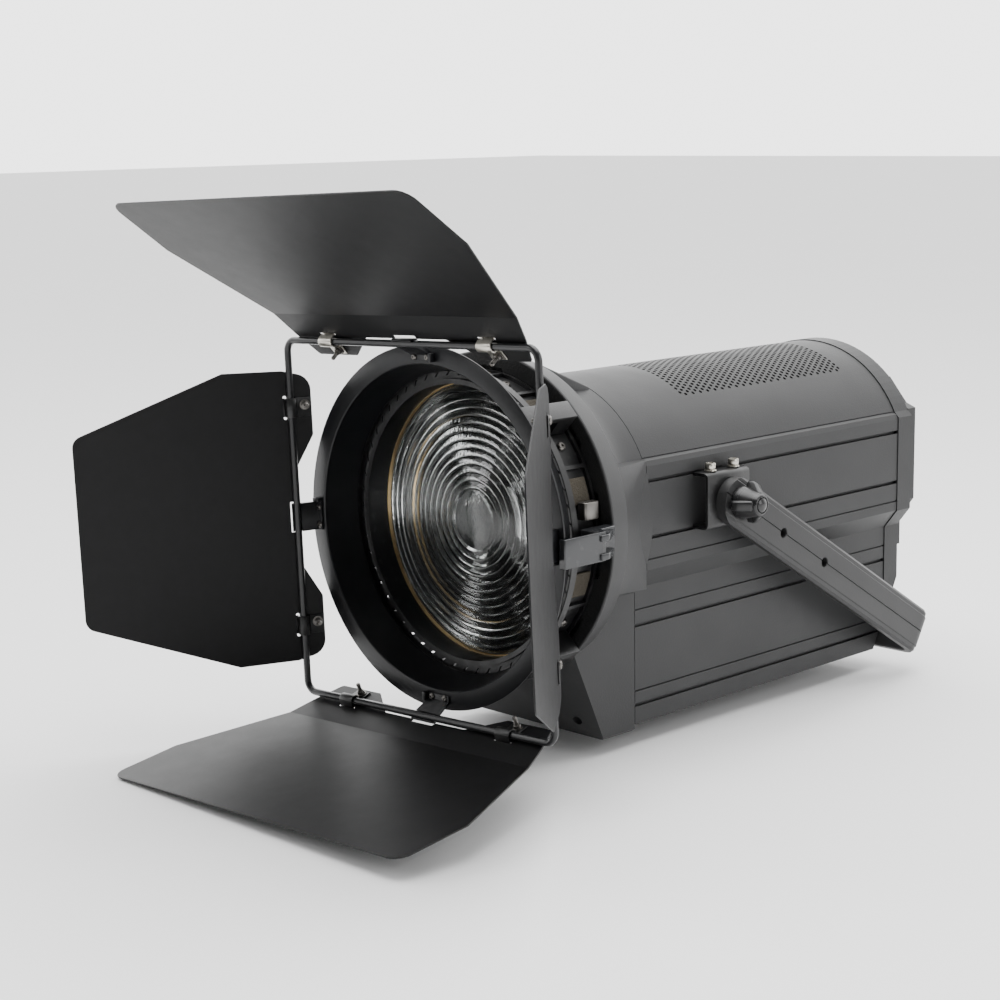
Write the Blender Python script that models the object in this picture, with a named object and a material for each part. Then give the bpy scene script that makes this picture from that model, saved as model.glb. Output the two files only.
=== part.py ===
"""Fresnel spotlight with a barn door, held by its yoke.

World: metres, +Z up, the beam leaves towards -Y. The origin is the middle of the yoke's outer face.
Every piece of the lamp head is built round the lens axis, from the plane of the barn door's wire,
and the empty named lens_axis carries that place into the world.
"""

import math

import bmesh
import bpy
from mathutils import Matrix, Vector

MM = 0.001
GAP = 0.35 * MM

# Yoke and its place on the head
YOKE_DROP = math.radians(31.0)
YOKE_REACH = 323 * MM
YOKE_WIDTH = 41 * MM
YOKE_THICKNESS = 10 * MM
YOKE_OUTER_X = 130 * MM
YOKE_BEND = 16 * MM
YOKE_TAIL = 19 * MM
YOKE_HOLES = (68 * MM, 136 * MM)
PIVOT_Y = 246 * MM
PIVOT_Z = 5 * MM
PIVOT_HOLE_RADIUS = 4.4 * MM
PIVOT_BOLT_RADIUS = 4.0 * MM
KNOB_LENGTH = 24 * MM
BRACKET_HALF = 27.5 * MM
BRACKET_WALL = 3 * MM
RAIL_SCREW_SPREAD = 15 * MM

# Head casing
BODY_FRONT = 162 * MM
BODY_REAR = 512 * MM
COVER_RADIUS = 109.5 * MM
COVER_WALL = 2 * MM
UPPER_HALF_WIDTH = 102.5 * MM
LOWER_HALF_WIDTH = 89 * MM
SIDE_WALL = 7.5 * MM
SHOULDER_Z = 49.2 * MM
COVE = (-43 * MM, -60 * MM)
BODY_BOTTOM = -176 * MM
RAILS = (31 * MM, -16 * MM)
LOWER_GROOVES = (-91.7 * MM, -159.6 * MM)
THIN_GROOVES = (-34 * MM, -78.2 * MM, -147.4 * MM)
PLATE = 3 * MM
CAP_REAR = 533 * MM
PANEL_REAR = 545 * MM
RECESS_FLOOR = 541 * MM
TAIL_CUT_TOP = (538 * MM, -102 * MM)
TAIL_CUT_BOTTOM = (497 * MM, -178 * MM)

# Front bezel, lens and accessory holder
BEZEL_FRONT = 84 * MM
BEZEL_RADIUS = 137 * MM
BEZEL_BORE = 118 * MM
BEZEL_SHOULDER = 99.4 * MM
NECK_RADIUS = 109.3 * MM
NECK_BORE = 106 * MM
BEZEL_BOTTOM = -181.5 * MM
FLANK_TOP = 51 * MM
FLANK_BOTTOM = -48 * MM
LENS_RADIUS = 112.6 * MM
LENS_VERTEX = 66 * MM
LENS_RIM = 78 * MM
LENS_BACK = 83 * MM
HOLDER_BORE = 113.6 * MM
HOLDER_RADIUS = 117.6 * MM
HOLDER_FRONT = 50 * MM
HOLDER_LIP = 108 * MM
RIB_RADIUS = 127 * MM
RIB_COUNT = 20

# Barn door
WIRE_RADIUS = 3 * MM
WIRE_HALF_WIDTH = 147 * MM
WIRE_HALF_HEIGHT = 150 * MM
WIRE_CORNER = 10 * MM
RING_RADIUS = 148 * MM
BARN_TURN = math.radians(-2.5)
RING_FRONT = 17.7 * MM
SHEET = 1.2 * MM
SHEET_OFFSET = 4.2 * MM
CLIP_WIDTH = 16 * MM
CLIP_PLACES = {"a": -93 * MM, "b": 93 * MM}
PLATE_BEND = math.radians(12)
TOP_OPENING = math.radians(48)
BOTTOM_OPENING = math.radians(20)
LEFT_OPENING = math.radians(29)
RIGHT_OPENING = math.radians(39.5)

# Zoom carriage and cooling, inside
CARRIAGE_Y = 300 * MM
ROD_X = 72 * MM
ROD_Z = -45 * MM
ROD_RADIUS = 5 * MM
SCREW_Z = -105 * MM
SCREW_RADIUS = 4 * MM
BULKHEAD_FRONT = 163 * MM
BULKHEAD_REAR = 445 * MM
BEAM_HOLE = 78 * MM
FAN_Z = -40 * MM
FAN_FRONT = 462 * MM
FAN_DEPTH = 25 * MM


# ---------------------------------------------------------------- tools


def clear_scene():
    for old in list(bpy.data.objects):
        bpy.data.objects.remove(old, do_unlink=True)


def finish_of(name, colour, roughness, metallic=0.0):
    """A plain material of one colour."""
    made = bpy.data.materials.new(name)
    made.use_nodes = True
    shader = made.node_tree.nodes["Principled BSDF"]
    shader.inputs["Base Color"].default_value = (*colour, 1.0)
    shader.inputs["Roughness"].default_value = roughness
    shader.inputs["Metallic"].default_value = metallic
    made.diffuse_color = (*colour, 1.0)
    return made


def add_mesh(name, bm, finish, parent=None, place=(0, 0, 0), turn=(0, 0, 0)):
    """Turns a bmesh into an object of its own, with its normals facing out."""
    bmesh.ops.recalc_face_normals(bm, faces=bm.faces)
    mesh = bpy.data.meshes.new(name)
    bm.to_mesh(mesh)
    bm.free()
    mesh.shade_smooth()
    mesh.set_sharp_from_angle(angle=math.radians(35))
    made = bpy.data.objects.new(name, mesh)
    bpy.context.collection.objects.link(made)
    made.data.materials.append(finish)
    made.parent = parent
    made.location = place
    made.rotation_euler = turn
    return made


def add_anchor(name, place, parent=None):
    anchor = bpy.data.objects.new(name, None)
    anchor.empty_display_size = 0.03
    bpy.context.collection.objects.link(anchor)
    anchor.location = place
    anchor.parent = parent
    return anchor


def combine(body, shape, operation="DIFFERENCE"):
    """Cuts a shape from the body, or joins it on. The shape stays in the scene as a hidden tool."""
    count = len(body.modifiers)
    tool = add_mesh("%s_tool_%d" % (body.name, count), shape, body.data.materials[0])
    tool.parent = body.parent
    tool.location = body.location
    tool.rotation_euler = body.rotation_euler
    tool.hide_render = True
    tool.display_type = "WIRE"
    step = body.modifiers.new(operation.lower(), "BOOLEAN")
    step.operation = operation
    step.object = tool


def on_axis(axis, first, second, along):
    """A point from two coordinates across an axis and one along it."""
    return {
        "X": (along, first, second),
        "Y": (first, along, second),
        "Z": (first, second, along),
    }[axis]


def box(corner, other):
    bm = bmesh.new()
    middle = (Vector(corner) + Vector(other)) / 2
    size = [abs(a - b) for a, b in zip(corner, other)]
    bmesh.ops.create_cube(bm, size=1.0, matrix=Matrix.Translation(middle) @ Matrix.Diagonal((*size, 1.0)))
    return bm


def prism(outline, start, end, axis="Y"):
    """Extrudes an outline along an axis. Its pairs are the two other coordinates, in X, Y, Z order."""
    bm = bmesh.new()
    cap = bm.faces.new([bm.verts.new(on_axis(axis, a, b, start)) for a, b in outline])
    grown = bmesh.ops.extrude_face_region(bm, geom=[cap])["geom"]
    moved = [item for item in grown if isinstance(item, bmesh.types.BMVert)]
    bmesh.ops.translate(bm, verts=moved, vec=Vector(on_axis(axis, 0, 0, end - start)))
    return bm


def spun(profile, axis="Y", steps=64, centre=(0, 0, 0)):
    """Turns (radius, along) points round an axis. A profile from radius 0 to radius 0 makes a solid,
    and any other closes on itself as a ring."""
    bm = bmesh.new()
    middle = Vector(centre)
    rings = []
    for radius, along in profile:
        ring = []
        for step in range(steps if radius else 1):
            angle = 2 * math.pi * step / steps
            spot = on_axis(axis, radius * math.cos(angle), radius * math.sin(angle), along)
            ring.append(bm.verts.new(middle + Vector(spot)))
        rings.append(ring)
    if profile[0][0]:
        rings.append(rings[0])
    for here, after in zip(rings, rings[1:]):
        for step in range(steps):
            follow = step + 1
            corners = (
                here[step % len(here)],
                here[follow % len(here)],
                after[follow % len(after)],
                after[step % len(after)],
            )
            bm.faces.new(list(dict.fromkeys(corners)))
    return bm


def rod(radius, start, end, axis="Y", centre=(0, 0, 0), steps=24):
    return spun([(0, start), (radius, start), (radius, end), (0, end)], axis, steps, centre)


def hull(points):
    bm = bmesh.new()
    found = bmesh.ops.convex_hull(bm, input=[bm.verts.new(point) for point in points])
    spare = {item for item in found["geom_interior"] if isinstance(item, bmesh.types.BMVert)}
    bmesh.ops.delete(bm, geom=list(spare), context="VERTS")
    return bm


def arc(radius, first, last, steps, centre=(0, 0)):
    """Points along an arc, with its angles in degrees."""
    found = []
    for step in range(steps + 1):
        angle = math.radians(first + (last - first) * step / steps)
        found.append((centre[0] + radius * math.cos(angle), centre[1] + radius * math.sin(angle)))
    return found


def rounded(outline, radii, steps=4):
    """Rounds the corners of an outline. radii maps a corner's index to its radius."""
    found = []
    for index, corner in enumerate(outline):
        here = Vector(corner)
        radius = radii.get(index, 0)
        if not radius:
            found.append(corner)
            continue
        back = (Vector(outline[index - 1]) - here).normalized()
        on = (Vector(outline[(index + 1) % len(outline)]) - here).normalized()
        half = back.angle(on) / 2
        centre = here + (back + on).normalized() * radius / math.sin(half)
        start = here + back * radius / math.tan(half) - centre
        end = here + on * radius / math.tan(half) - centre
        for step in range(steps + 1):
            part = start.lerp(end, step / steps).normalized() * radius
            found.append(tuple(centre + part))
    return found


def mirrored(half):
    """Closes a half outline with its mirror image in the first coordinate."""
    return half + [(-a, b) for a, b in reversed(half)]


# ---------------------------------------------------------------- yoke and brackets


def make_yoke(finish, pivot):
    """A flat bar bent to a U, seen here along its width: x across, y along the arms, pivots at y = 0."""
    inner = YOKE_OUTER_X - YOKE_THICKNESS
    corner_x = YOKE_OUTER_X - YOKE_BEND
    corner_y = YOKE_REACH - YOKE_BEND
    outside = [(YOKE_OUTER_X, -YOKE_TAIL)] + arc(YOKE_BEND, 0, 90, 6, (corner_x, corner_y))
    inside = [(inner, -YOKE_TAIL)] + arc(YOKE_BEND - YOKE_THICKNESS, 0, 90, 5, (corner_x, corner_y))
    outer_run = outside + [(-x, y) for x, y in reversed(outside)]
    inner_run = inside + [(-x, y) for x, y in reversed(inside)]
    shape = prism(outer_run + inner_run[::-1], -YOKE_WIDTH / 2, YOKE_WIDTH / 2, "Z")
    yoke = add_mesh("yoke", shape, finish, pivot, turn=(-YOKE_DROP, 0, 0))
    edge = yoke.modifiers.new("edge chamfer", "BEVEL")
    edge.width = 2.2 * MM
    edge.segments = 1
    edge.limit_method = "ANGLE"
    edge.angle_limit = math.radians(60)
    for sign in (-1, 1):
        ends = (sign * inner - 0.02, sign * inner + 0.03)
        combine(yoke, rod(PIVOT_HOLE_RADIUS, *ends, "X", steps=20))
        for along in YOKE_HOLES:
            combine(yoke, rod(4.2 * MM, *ends, "X", (0, along, 0), 16))
    combine(yoke, rod(6.2 * MM, YOKE_REACH - 0.03, YOKE_REACH + 0.02, "Y"))


def make_bracket(side, sign, finish, zinc, pivot, head):
    """The channel clamped on one side rail, with its pivot bolt and its two rail screws."""
    outer = YOKE_OUTER_X - YOKE_THICKNESS - GAP
    inner = UPPER_HALF_WIDTH + GAP
    high, low = RAILS[0] + 0.5 * MM, RAILS[1] - 0.5 * MM
    web = outer - BRACKET_WALL
    channel = [
        (inner, high),
        (outer, high),
        (outer, low),
        (inner, low),
        (inner, low + BRACKET_WALL),
        (web, low + BRACKET_WALL),
        (web, high - BRACKET_WALL),
        (inner, high - BRACKET_WALL),
    ]
    outline = [(sign * x, z) for x, z in channel]
    shape = prism(outline, PIVOT_Y - BRACKET_HALF, PIVOT_Y + BRACKET_HALF)
    bracket = add_mesh("rail_bracket_" + side, shape, finish, head)
    reach = sorted((sign * (web - 0.002), sign * (outer + 0.002)))
    combine(bracket, rod(PIVOT_HOLE_RADIUS, *reach, "X", (0, PIVOT_Y, PIVOT_Z), 20))
    under = web - GAP
    profile = [
        (0, under - 5 * MM),
        (7 * MM, under - 5 * MM),
        (7 * MM, under),
        (PIVOT_BOLT_RADIUS, under),
        (PIVOT_BOLT_RADIUS, YOKE_OUTER_X + 14 * MM),
        (0, YOKE_OUTER_X + 14 * MM),
    ]
    bolt = spun([(radius, sign * x) for radius, x in profile], "X", 16)
    add_mesh("pivot_bolt_" + side, bolt, zinc, pivot)
    for order, along in (("front", -RAIL_SCREW_SPREAD), ("rear", RAIL_SCREW_SPREAD)):
        spot = (sign * (web - 5 * MM), PIVOT_Y + along, high)
        screw = spun(
            [
                (0, -8 * MM),
                (2.3 * MM, -8 * MM),
                (2.3 * MM, GAP),
                (4.6 * MM, GAP),
                (4.6 * MM, 3.6 * MM),
                (3.4 * MM, 6.4 * MM),
                (0, 6.8 * MM),
            ],
            "Z",
            16,
        )
        add_mesh("rail_screw_%s_%s" % (side, order), screw, zinc, head, spot)
        combine(bracket, rod(2.8 * MM, high - 0.006, high + 0.004, "Z", (spot[0], spot[1], 0), 16))


def make_knob(side, sign, finish, pivot):
    """A lobed hand knob on the end of the pivot bolt, turning about the tilt axis."""
    start = YOKE_OUTER_X + GAP
    lobes = []
    for step in range(48):
        angle = 2 * math.pi * step / 48
        radius = (14.5 + 4.5 * math.cos(3 * angle)) * MM
        lobes.append((radius * math.cos(angle), radius * math.sin(angle)))
    ends = sorted((sign * (start + 2.5 * MM), sign * (start + KNOB_LENGTH - 6 * MM)))
    knob = add_mesh("tilt_knob_" + side, prism(lobes, *ends, "X"), finish, pivot)
    core = [
        (0, start),
        (12.5 * MM, start),
        (12.5 * MM, start + 6 * MM),
        (9.5 * MM, start + KNOB_LENGTH - 2 * MM),
        (7.5 * MM, start + KNOB_LENGTH),
        (0, start + KNOB_LENGTH),
    ]
    combine(knob, spun([(radius, sign * x) for radius, x in core], "X", 24), "UNION")
    ends = sorted((sign * (start - 0.002), sign * (YOKE_OUTER_X + 14.5 * MM)))
    combine(knob, rod(PIVOT_BOLT_RADIUS + 0.1 * MM, *ends, "X", steps=16))


# ---------------------------------------------------------------- casing


def groove(depth, width, face, centre_z):
    """Four points of a groove cut into a wall that faces outward, read from the top down."""
    high, low = centre_z + width / 2, centre_z - width / 2
    return [(face, high), (face - depth, high), (face - depth, low), (face, low)]


def side_outline():
    """The side extrusion's section: rail grooves, the cove and the lower grooves, then back up inside."""
    upper, lower = UPPER_HALF_WIDTH, LOWER_HALF_WIDTH
    points = [(upper - 5.5 * MM, SHOULDER_Z), (upper - 2 * MM, SHOULDER_Z - 2 * MM), (upper, SHOULDER_Z - 6 * MM)]
    for rail in RAILS:
        points += groove(4 * MM, 3 * MM, upper, rail)
    points += groove(1.5 * MM, 1.4 * MM, upper, THIN_GROOVES[0])
    points += [(upper, COVE[0]), (lower, COVE[1])]
    points += groove(1.5 * MM, 1.4 * MM, lower, THIN_GROOVES[1])
    points += groove(3 * MM, 3 * MM, lower, LOWER_GROOVES[0])
    points += groove(1.5 * MM, 1.4 * MM, lower, THIN_GROOVES[2])
    points += groove(3 * MM, 3 * MM, lower, LOWER_GROOVES[1])
    points += [(lower, BODY_BOTTOM), (lower - 6 * MM, BODY_BOTTOM), (lower - 6 * MM, COVE[1] - 3 * MM)]
    points += [(upper - SIDE_WALL, COVE[0] - 4 * MM), (upper - SIDE_WALL, SHOULDER_Z)]
    return points


def tail_cut():
    """The wedge behind the slanted rear underside, which leaves room for the yoke to swing."""
    top, bottom = Vector(TAIL_CUT_TOP), Vector(TAIL_CUT_BOTTOM)
    along = (bottom - top).normalized()
    away = Vector((-along.y, along.x))
    start, end = top - along * 0.05, bottom + along * 0.05
    outline = [start, end, end + away * 0.12, start + away * 0.12]
    return prism([tuple(point) for point in outline], -0.2, 0.2, "X")


def cut_line(z):
    """The y of the slanted rear underside at a height."""
    part = (z - TAIL_CUT_TOP[1]) / (TAIL_CUT_BOTTOM[1] - TAIL_CUT_TOP[1])
    return TAIL_CUT_TOP[0] + part * (TAIL_CUT_BOTTOM[0] - TAIL_CUT_TOP[0])


def make_casing(finish, head):
    front, rear = BODY_FRONT, BODY_REAR
    for side, sign in (("right", 1), ("left", -1)):
        outline = [(sign * x, z) for x, z in side_outline()]
        panel = add_mesh("side_panel_" + side, prism(outline, front, rear), finish, head)
        combine(panel, tail_cut())
    shell = []
    for radius in (COVER_RADIUS, COVER_RADIUS - COVER_WALL):
        low = math.degrees(math.asin((SHOULDER_Z + GAP) / radius))
        shell.append(arc(radius, low, 180 - low, 32))
    add_mesh("top_cover", prism(shell[0] + shell[1][::-1], front, rear), finish, head)
    floor_top = BODY_BOTTOM + PLATE
    ramp_end = -118 * MM
    floor = [
        (front, BODY_BOTTOM),
        (cut_line(BODY_BOTTOM), BODY_BOTTOM),
        (cut_line(ramp_end), ramp_end),
        (cut_line(ramp_end) - PLATE, ramp_end + 1.5 * MM),
        (cut_line(floor_top) - PLATE, floor_top),
        (front, floor_top),
    ]
    half = LOWER_HALF_WIDTH - 6 * MM - GAP
    add_mesh("bottom_panel", prism(floor, -half, half, "X"), finish, head)


def body_outline(grow):
    """The casing's outside, grown by a distance, as the rear cap and the bulkheads follow it."""
    radius = COVER_RADIUS + grow
    low = math.degrees(math.asin(SHOULDER_Z / radius))
    side = [(UPPER_HALF_WIDTH + grow, SHOULDER_Z - 5 * MM), (UPPER_HALF_WIDTH + grow, COVE[0] - grow / 2)]
    side += [(LOWER_HALF_WIDTH + grow, COVE[1] - grow / 2), (LOWER_HALF_WIDTH + grow, BODY_BOTTOM - grow)]
    return [(-x, z) for x, z in side[::-1]] + arc(radius, 180 - low, low, 32) + side


def make_rear(casing, black, head):
    """The cap over the rear, and the panel with its recess, sockets and air slots."""
    wall = 3 * MM
    cap = add_mesh("rear_cap", prism(body_outline(0.8 * MM), BODY_REAR + GAP, CAP_REAR), casing, head)
    combine(cap, prism(body_outline(0.8 * MM - wall), BODY_REAR - 0.01, CAP_REAR - wall))
    combine(cap, tail_cut())
    combine(cap, box((-0.055, 0.52, -0.08), (0.055, 0.54, -0.03)))
    half = [(70 * MM, 77 * MM), (89 * MM, 54 * MM), (99 * MM, 50 * MM), (99 * MM, -36 * MM)]
    half += [(84 * MM, -56 * MM), (84 * MM, -82 * MM)]
    outline = half + [(-x, z) for x, z in half[::-1]]
    panel = add_mesh("rear_panel", prism(outline, CAP_REAR + GAP, PANEL_REAR), casing, head)
    combine(panel, box((-0.090, RECESS_FLOOR, -0.022), (0.090, PANEL_REAR + 0.01, 0.048)))
    for step in range(5):
        low = (-76 + 10 * step) * MM
        combine(panel, box((-0.052, 0.52, low), (0.052, 0.56, low + 5 * MM)))
    floor = RECESS_FLOOR + GAP
    add_mesh("display_window", box((-0.032, floor, 0.012), (0.032, floor + 0.0025, 0.043)), black, head)
    for step in range(4):
        spot = ((step - 1.5) * 18 * MM, floor + 1.3 * MM, -7 * MM)
        button = spun([(0, 0), (5 * MM, 0), (5 * MM, 2.4 * MM), (4.2 * MM, 3.2 * MM), (0, 3.2 * MM)], "Y", 20)
        add_mesh("menu_button_%d" % (step + 1), button, black, head, spot)
    for name, x in (("data_inlet", -52), ("data_outlet", -76)):
        shell = [(12, 0), (12, 3.4), (10.4, 3.4), (10.4, 1.2), (0, 1.2)]
        socket = spun([(0, 0)] + [(r * MM, y * MM) for r, y in shell], "Y", 28)
        add_mesh(name, socket, black, head, (x * MM, floor, 27 * MM))
    for name, x in (("power_inlet", 52), ("power_outlet", 76)):
        shell = [(10.5, 0), (10.5, 3.6), (8.5, 3.6), (8.5, 1.2), (0, 1.2)]
        socket = spun([(0, 0)] + [(r * MM, y * MM) for r, y in shell], "Y", 28)
        add_mesh(name, socket, black, head, (x * MM, floor, 27 * MM))


def make_safety_eye(zinc, head):
    """A wire loop on the rear panel's top edge, for a safety bond."""
    curve = bpy.data.curves.new("safety_eye", "CURVE")
    curve.dimensions = "3D"
    curve.bevel_depth = 2 * MM
    curve.bevel_resolution = 2
    curve.use_fill_caps = True
    feet = 12 * MM
    path = [(-feet, 0), (-feet, 8 * MM)] + arc(feet, 180, 0, 8, (0, 8 * MM)) + [(feet, 8 * MM), (feet, 0)]
    path = list(dict.fromkeys((round(x, 6), round(z, 6)) for x, z in path))
    spline = curve.splines.new("POLY")
    spline.points.add(len(path) - 1)
    for point, (x, z) in zip(spline.points, path):
        point.co = (x, 0, z, 1)
    eye = bpy.data.objects.new("safety_eye", curve)
    bpy.context.collection.objects.link(eye)
    curve.materials.append(zinc)
    eye.parent = head
    eye.location = (0, 539 * MM, 77.4 * MM)


def make_bezel(finish, head):
    """The round moulding in front: rim, tapered flanks, top rib and the foot below."""
    rim = [
        (0, BEZEL_FRONT),
        (BEZEL_RADIUS, BEZEL_FRONT),
        (131.2 * MM, 108 * MM),
        (128 * MM, 110.5 * MM),
        (113.5 * MM, 125 * MM),
        (NECK_RADIUS, 140 * MM),
        (NECK_RADIUS, BODY_FRONT - GAP),
        (0, BODY_FRONT - GAP),
    ]
    rear = BODY_FRONT - GAP
    bezel = add_mesh("front_bezel", spun(rim, "Y", 72), finish, head)
    rim_inside = BEZEL_RADIUS - 0.4 * MM
    start = BEZEL_FRONT + 0.6 * MM
    for sign in (1, -1):
        low = math.degrees(math.asin(FLANK_BOTTOM / rim_inside))
        high = math.degrees(math.asin(FLANK_TOP / rim_inside))
        points = [(sign * x, start, z) for x, z in arc(rim_inside, low, high, 8)]
        back = UPPER_HALF_WIDTH - 0.1 * MM
        for x in (back, 90 * MM):
            points += [(sign * x, rear, 48.6 * MM), (sign * x, rear, -58.5 * MM)]
        points += [(sign * 90 * MM, start, FLANK_BOTTOM), (sign * 90 * MM, start, FLANK_TOP)]
        combine(bezel, hull(points), "UNION")
    foot = [(x, start, z) for x, z in arc(rim_inside - 0.3 * MM, -48, -132, 14)]
    half = LOWER_HALF_WIDTH - 0.2 * MM
    for sign in (1, -1):
        foot += [(sign * half, 123 * MM, BEZEL_BOTTOM), (sign * half, rear, BEZEL_BOTTOM)]
        foot += [(sign * half, rear, -55 * MM), (sign * half, start + 6 * MM, -60 * MM)]
    combine(bezel, hull(foot), "UNION")
    rib = [(100 * MM, 126 * MM), (107 * MM, 126 * MM), (rear, 103 * MM), (rear, 96 * MM), (100 * MM, 96 * MM)]
    combine(bezel, prism(rib, -41 * MM, 41 * MM, "X"), "UNION")
    bore = [
        (0, 0.05),
        (BEZEL_BORE, 0.05),
        (BEZEL_BORE, BEZEL_SHOULDER),
        (NECK_BORE, BEZEL_SHOULDER),
        (NECK_BORE, 0.2),
        (0, 0.2),
    ]
    combine(bezel, spun(bore, "Y", 72))
    cavity = [(104 * MM, -97 * MM), (131 * MM, -177 * MM), (0.2, -177 * MM), (0.2, -50 * MM), (104 * MM, -50 * MM)]
    combine(bezel, prism(cavity, -85 * MM, 85 * MM, "X"))


# ---------------------------------------------------------------- lens and accessory holder


def make_holder(finish, head):
    """The ribbed black ring in the bezel's mouth, with four arms that carry the barn door's ring."""
    steps = RIB_COUNT * 4
    bm = bmesh.new()
    sections = []
    for step in range(steps):
        angle = 2 * math.pi * (step + 0.5) / steps
        outer = RIB_RADIUS if step % 4 < 2 else HOLDER_RADIUS + 1.5 * MM
        profile = [
            (HOLDER_BORE, HOLDER_FRONT),
            (HOLDER_RADIUS, HOLDER_FRONT),
            (HOLDER_RADIUS, HOLDER_FRONT + 3 * MM),
            (outer, HOLDER_FRONT + 3 * MM),
            (outer, BEZEL_FRONT - GAP),
            (HOLDER_RADIUS, BEZEL_FRONT - GAP),
            (HOLDER_RADIUS, BEZEL_SHOULDER - GAP),
            (HOLDER_LIP, BEZEL_SHOULDER - GAP),
            (HOLDER_LIP, LENS_BACK + GAP),
            (HOLDER_BORE, LENS_BACK + GAP),
        ]
        turn = (math.cos(angle), math.sin(angle))
        sections.append([bm.verts.new((r * turn[0], y, r * turn[1])) for r, y in profile])
    for here, after in zip(sections, sections[1:] + sections[:1]):
        for index in range(len(here)):
            follow = (index + 1) % len(here)
            bm.faces.new((here[index], here[follow], after[follow], after[index]))
    holder = add_mesh("accessory_holder", bm, finish, head)
    arm = [(120, 60), (135.4, 60), (135.4, 19.8), (141.5, 19.8), (141.5, 80), (120, 80)]
    for angle in (45, 135, 225, 315):
        shape = prism([(r * MM, y * MM) for r, y in arm], -9 * MM, 9 * MM, "Z")
        bmesh.ops.rotate(shape, verts=shape.verts, matrix=Matrix.Rotation(math.radians(-angle), 3, "Y"))
        combine(holder, shape, "UNION")


def make_lens(glass, black, head):
    """The lens blank between the holder's lip and a spring ring. Its steps are left to the scene."""
    rings = [0.2, 0.4, 0.6, 0.8, 0.92, 1.0]
    front = [(0, LENS_VERTEX)]
    for part in rings:
        front.append((LENS_RADIUS * part, LENS_VERTEX + (LENS_RIM - LENS_VERTEX) * part * part))
    add_mesh("lens", spun(front + [(LENS_RADIUS, LENS_BACK), (0, LENS_BACK)], "Y", 64), glass, head)
    ring = [(108 * MM, 73 * MM), (113.2 * MM, 73 * MM), (113.2 * MM, 76.6 * MM), (108 * MM, 76.2 * MM)]
    add_mesh("lens_retainer", spun(ring, "Y", 64), black, head)


def make_latch(finish, head):
    """The sprung catch on the right that hooks over the barn ring's edge. It turns about an upright pin."""
    pin = (134.5 * MM, 76 * MM)
    arm = [(131, 82), (131, 52), (148.5, 52), (148.5, 17.25), (145.4, 17.25), (145.4, 14.6)]
    arm += [(151.4, 14.6), (151.4, 60), (141, 66), (141, 82)]
    outline = [(x * MM - pin[0], y * MM - pin[1]) for x, y in arm]
    latch = add_mesh("accessory_latch", prism(outline, -12 * MM, 12 * MM, "Z"), finish, head, (*pin, 0))
    for low in (-10 * MM, 3 * MM):
        fin = [(-2, -24), (19, -24), (19, -14), (8, 4), (-2, 4)]
        combine(latch, prism([(x * MM, y * MM) for x, y in fin], low, low + 6 * MM, "Z"), "UNION")


# ---------------------------------------------------------------- barn door


def make_ring(finish, barn):
    """The barn door's flanged ring, with the four tabs that carry the hinge wire."""
    front, back = RING_FRONT, RING_FRONT + 1.5 * MM
    section = [
        (RING_RADIUS, front),
        (RING_RADIUS, back),
        (145.3 * MM, back),
        (145.3 * MM, back + 3.6 * MM),
        (143.8 * MM, back + 3.6 * MM),
        (143.8 * MM, back),
        (134.2 * MM, back),
        (125.6 * MM, 48 * MM),
        (124 * MM, 48 * MM),
        (131.8 * MM, 21.5 * MM),
        (133 * MM, front),
    ]
    ring = add_mesh("barn_ring", spun(section, "Y", 72), finish, barn)
    reaches = {0: WIRE_HALF_WIDTH, 90: WIRE_HALF_HEIGHT, 180: WIRE_HALF_WIDTH, 270: WIRE_HALF_HEIGHT}
    for angle, reach in reaches.items():
        at_wire = WIRE_RADIUS + GAP
        tab = [
            (reach - 1 * MM, at_wire),
            (reach + 1.4 * MM, at_wire),
            (142.6 * MM, front + 0.6 * MM),
            (139.6 * MM, front + 0.6 * MM),
        ]
        shape = prism(tab, -12 * MM, 12 * MM, "Z")
        bmesh.ops.rotate(shape, verts=shape.verts, matrix=Matrix.Rotation(math.radians(-angle), 3, "Y"))
        combine(ring, shape, "UNION")


def make_wire(finish, barn):
    """The rectangular wire that the four leaves hinge on, one closed rod."""
    curve = bpy.data.curves.new("hinge_wire", "CURVE")
    curve.dimensions = "3D"
    curve.bevel_depth = WIRE_RADIUS
    curve.bevel_resolution = 2
    spline = curve.splines.new("POLY")
    path = []
    for quarter, (sx, sz) in enumerate(((1, 1), (-1, 1), (-1, -1), (1, -1))):
        centre = (sx * (WIRE_HALF_WIDTH - WIRE_CORNER), sz * (WIRE_HALF_HEIGHT - WIRE_CORNER))
        path += arc(WIRE_CORNER, 90 * quarter, 90 * quarter + 90, 4, centre)
    spline.points.add(len(path) - 1)
    for point, (x, z) in zip(spline.points, path):
        point.co = (x, 0, z, 1)
    spline.use_cyclic_u = True
    wire = bpy.data.objects.new("hinge_wire", curve)
    bpy.context.collection.objects.link(wire)
    curve.materials.append(finish)
    wire.parent = barn


def add_leaf(name, faces, finish, anchor, turn):
    """A sheet leaf from flat faces, thickened equally both ways."""
    bm = bmesh.new()
    for face in faces:
        bm.faces.new([bm.verts.new(point) for point in face])
    bmesh.ops.remove_doubles(bm, verts=bm.verts, dist=1e-5)
    leaf = add_mesh(name, bm, finish, anchor, turn=turn)
    sheet = leaf.modifiers.new("sheet", "SOLIDIFY")
    sheet.thickness = SHEET
    sheet.offset = 0
    sheet.use_even_offset = True


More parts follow.
